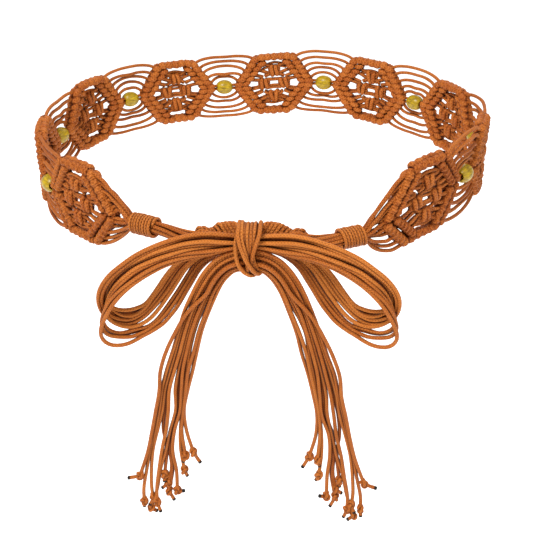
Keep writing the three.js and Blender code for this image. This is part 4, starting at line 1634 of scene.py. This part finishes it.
@dataclass
class BowTail:
    """The twelve free ends on one side, each with an overhand knot and a melted tip."""

    side: Side
    diameter: float = 2.1
    step: float = 1.8
    sway: float = 0.35
    knot_radius: float = 1.04
    knot_points: int = 44
    knot_ring: Span = (1.3, 0.7)
    knot_size: Place = (0.85, 1.25, 1.0)
    knot_tones: Span = (0.3, 0.5)
    tip_radii: Span = (0.95, 1.12)
    tip_burn: Span = (-2.6, 1.3)
    tip_tone: float = 0.35
    painted_shade_behind_tone: float = 0.1
    tones: Span = (0.2, 0.7)
    inside: Spot = (2.2, 2.0)
    arc_forward: float = 3.2
    top_arc: tuple[Spot, ...] = ((6.1, -8.2), (11.0, -10.0), (15.9, -13.1), (20.5, -18.2), (24.2, -24.0))
    low_arc: tuple[Spot, ...] = ((6.2, -18.7), (8.0, -19.7), (9.7, -21.3), (11.5, -23.3), (13.6, -26.5))
    levels: tuple[float, ...] = (
        -30.4, -42.1, -54.2, -66.8, -79.9, -93.3, -107.2, -121.5, -136.0, -150.8, -166.0,
    )
    forward: tuple[float, ...] = (3.5, 3.5, 3.2, 2.8, 2.2, 1.6, 1.0, 0.4, 0.0, -0.2, -0.3)
    ends: tuple[FreeEnd, ...] = (
        FreeEnd(0.57, 2.5, (20.9, 31.1, 37.8, 43.3, 46.8, 48.6, 51.6, 54.5, 57.5),
                (63.6, -154.7), (70.7, -156.9)),
        FreeEnd(0.0, 0.2, (27.6, 32.2, 36.3, 40, 44.2, 47.3, 50.1, 53, 56.7, 59.5, 62.4),
                (62.7, -174.8), (63.0, -179.1)),
        FreeEnd(0.14, -0.5, (26, 30.4, 34.6, 38.2, 42.1, 45.6, 48.4, 51.8, 55.5, 57.1, 57.6),
                (57.2, -171.9), (59.3, -176.6)),
        FreeEnd(0.29, 0.5, (24.2, 28.9, 32.8, 36.3, 39.6, 43.1, 44.9, 47, 50, 52.7, 54.7),
                (55.1, -175.2), (53.1, -181.0)),
        FreeEnd(0.43, -0.5, (22.5, 27.3, 31.2, 34.6, 37.8, 40.5, 41.1, 44.5, 47.7, 51.8, 54.6),
                (59.0, -180.0), (55.4, -182.2)),
        FreeEnd(0.57, 0.5, (20.6, 25.6, 29.7, 32.6, 35.3, 36.6, 38.2, 42.5, 43.9, 42.6),
                (42.9, -165.8), (38.7, -164.4)),
        FreeEnd(0.71, -0.5, (18.9, 24, 28.4, 31, 33.5, 35.5, 37.2, 38.8, 39.4),
                (38.1, -150.9), (36.5, -154.6)),
        FreeEnd(0.86, 0.5, (17.1, 21.6, 25.8, 29, 32.2, 34.7, 36.7, 38),
                (37.0, -139.5), (38.4, -143.8)),
        FreeEnd(1.0, -0.3, (15.5, 20.3, 24.3, 27.2, 30.6, 33.7, 36.1, 35.7),
                (32.4, -137.5), (28.7, -144.1)),
        FreeEnd(0.21, -2.3, (25.1, 29.6, 33.7, 37.3, 40.9, 44.4, 47, 48.9, 47.5),
                (49.8, -154.8), (50.1, -159.3)),
        FreeEnd(0.5, -2.4, (21.6, 26.4, 30.4, 33.6, 36.5, 38.7, 39.8, 44.5, 46.3, 46.1),
                (48.2, -161.5), (51.6, -163.7)),
        FreeEnd(0.79, -2.3, (18, 22.8, 28.9, 31.8, 34.4, 37.4, 39.3, 43.4, 45.5, 45.4),
                (47.9, -167.2), (45.0, -173.4)),
    )

    def path(self, end: FreeEnd, chance: np.random.Generator) -> np.ndarray:
        """The centre line of one free end.

        Args:
            end: The cord's course.
            chance: Where its small unevenness comes from.

        Returns:
            Points from inside the bow knot to the end knot.
        """
        arc = np.array(self.top_arc) * (1 - end.lane) + np.array(self.low_arc) * end.lane
        rows = [(self.inside[0], self.inside[1] + end.layer * 0.5, arc[0, 1])]
        rows += [(out, self.arc_forward + end.layer, high) for out, high in arc]
        sway = chance.uniform(-self.sway, self.sway, len(self.levels))
        for index, out in enumerate(end.outs):
            layer = end.layer * (1 - 0.5 * index / len(self.levels))
            rows.append((out + sway[index], self.forward[index] + layer, self.levels[index]))
        rows.append((end.knot[0], end.layer * 0.4, end.knot[1]))
        points = [(BOW.across(self.side, out), BOW.front - ahead, high) for out, ahead, high in rows]
        return rounded(np.array(points), self.step)

    def end_knot(
        self, end: FreeEnd, centre: np.ndarray, way: np.ndarray, chance: np.random.Generator
    ) -> CordWork:
        """An overhand knot with a short melted tip.

        Args:
            end: The cord's course.
            centre: The knot's middle.
            way: The direction in which the cord comes into it.
            chance: Where its turn comes from.

        Returns:
            The knot's cord work.
        """
        angles = np.linspace(0, 2 * math.pi, self.knot_points, endpoint=False)
        ring = self.knot_ring[0] + self.knot_ring[1] * np.cos(3 * angles)
        wide, tall, deep = self.knot_size
        flat = np.column_stack([
            wide * ring * np.cos(2 * angles), tall * ring * np.sin(2 * angles), deep * np.sin(3 * angles),
        ])
        axis = unit(np.cross(way, chance.normal(size=3)))
        first = unit(np.cross(axis, way))
        work = CordWork()
        turned = centre + flat @ np.stack([first, way, axis])
        work.lay(turned, self.knot_radius, chance.uniform(*self.knot_tones), closed=True)
        last = np.array([BOW.across(self.side, end.tip[0]), centre[1] - chance.uniform(0, 2), end.tip[1]])
        tip = rounded(np.array([centre, centre * 0.6 + last * 0.4 + way * 0.4, last]), 0.6)
        melt_and_bore_shade = np.clip(np.linspace(*self.tip_burn, len(tip)), 0, 1)
        work.lay(tip, np.linspace(*self.tip_radii, len(tip)), self.tip_tone, melt_and_bore_shade=melt_and_bore_shade)
        return work

    def build(self, dresser: Dresser) -> None:
        """Makes the twelve cords, each with its end knot.

        Args:
            dresser: Holds the finishes and makes the piece.
        """
        node = f"bow_tail_{self.side.word}"
        chance = np.random.default_rng(801 if self.side is Side.LEFT else 802)
        beside: list[np.ndarray] = []
        paths = [self.path(end, chance) for end in self.ends]
        works = [CordWork(middles=beside) for _ in paths]
        for end, path, work in zip(self.ends, paths, works):
            # Painted shade: the ends that lie behind the rest get a dark tone.
            tone = self.painted_shade_behind_tone if end.layer < -1 else chance.uniform(*self.tones)
            work.lay(path, self.diameter / 2, tone)
        for number, (end, path, work) in enumerate(zip(self.ends, paths, works), 1):
            cord = dresser.dress(work, node, f"cord_{number}")
            way = unit(path[-1] - path[-3])
            knot = self.end_knot(end, path[-1], way, chance).piece(
                f"{node}_end_knot_{number}", dresser.finishes[Slot.CORD], Slot.CORD
            )


# Room


@dataclass(frozen=True)
class SoftLight:
    """A square soft light that faces the belt, with its watts and the length of its sides."""

    name: str
    place: Place
    power: float
    size: float

    def hang(self) -> None:
        """Hangs the light."""
        data = bpy.data.lights.new(self.name, "AREA")
        data.energy = self.power
        data.size = self.size
        made = put(self.name, data)
        made.location = self.place
        made.rotation_euler = (-Vector(self.place)).to_track_quat("-Z", "Y").to_euler()


@dataclass
class Studio:
    """The camera of the photograph's view, soft lights and a pale floor well below the belt."""

    place: Place = (0.02704, -0.50245, 0.18264)
    forward: Place = (-0.0461, 0.8791, -0.4744)
    lens: float = 57.945
    floor_height: float = -0.42
    floor_size: float = 14.0
    sky: float = 0.44
    lights: tuple[SoftLight, ...] = (
        SoftLight("key", (-0.4, -0.8, 1.3), 24.0, 0.6),
        SoftLight("fill", (0.9, -0.7, 0.7), 4.0, 1.2),
        SoftLight("back", (0.1, 1.2, 1.0), 8.0, 1.2),
    )

    def camera(self) -> None:
        """Sets up the camera."""
        data = bpy.data.cameras.new("camera")
        data.sensor_fit = "HORIZONTAL"
        data.sensor_width = 36.0
        data.lens = self.lens
        data.clip_start = 0.01
        made = put("camera", data)
        made.location = self.place
        made.rotation_euler = Vector(self.forward).to_track_quat("-Z", "Y").to_euler()
        bpy.context.scene.camera = made

    def floor(self) -> None:
        """Lays the floor."""
        half = self.floor_size / 2
        outline = ((-half, -half), (half, -half), (half, half), (-half, half))
        mesh = bpy.data.meshes.new("floor")
        mesh.from_pydata([(x, y, self.floor_height) for x, y in outline], [], [(0, 1, 2, 3)])
        mesh.materials.append(FloorFinish().material())
        put("floor", mesh)

    def build(self) -> None:
        """Sets up the room."""
        self.camera()
        for light in self.lights:
            light.hang()
        self.floor()
        world = bpy.data.worlds.new("room")
        world.use_nodes = True
        background = world.node_tree.nodes["Background"]
        background.inputs["Color"].default_value = WHITE
        background.inputs["Strength"].default_value = self.sky
        bpy.context.scene.world = world
        bpy.context.scene.view_settings.view_transform = "Standard"


def main() -> None:
    """Builds the belt piece by piece round its frame."""
    logging.basicConfig(level=logging.INFO, format="%(message)s")
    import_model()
    Studio().build()
    dresser = Dresser({Slot.CORD: CordFinish().material(), Slot.BEAD: WoodFinish().material()})
    for side in Side:
        BowTail(side).build(dresser)
    for side in Side:
        BowLoop(side).build(dresser)
        Tie(side).build(dresser)
        Collar(side).build(dresser)
        EndFan(side).build(dresser)
    HalfKnot().build(dresser)
    BowKnot().build(dresser)
    for number in range(1, 10):
        Panel(number).build(dresser)
    for number in range(1, 9):
        Fan(number).build(dresser)
        Bead(number).build(dresser)


if __name__ == "__main__":
    main()
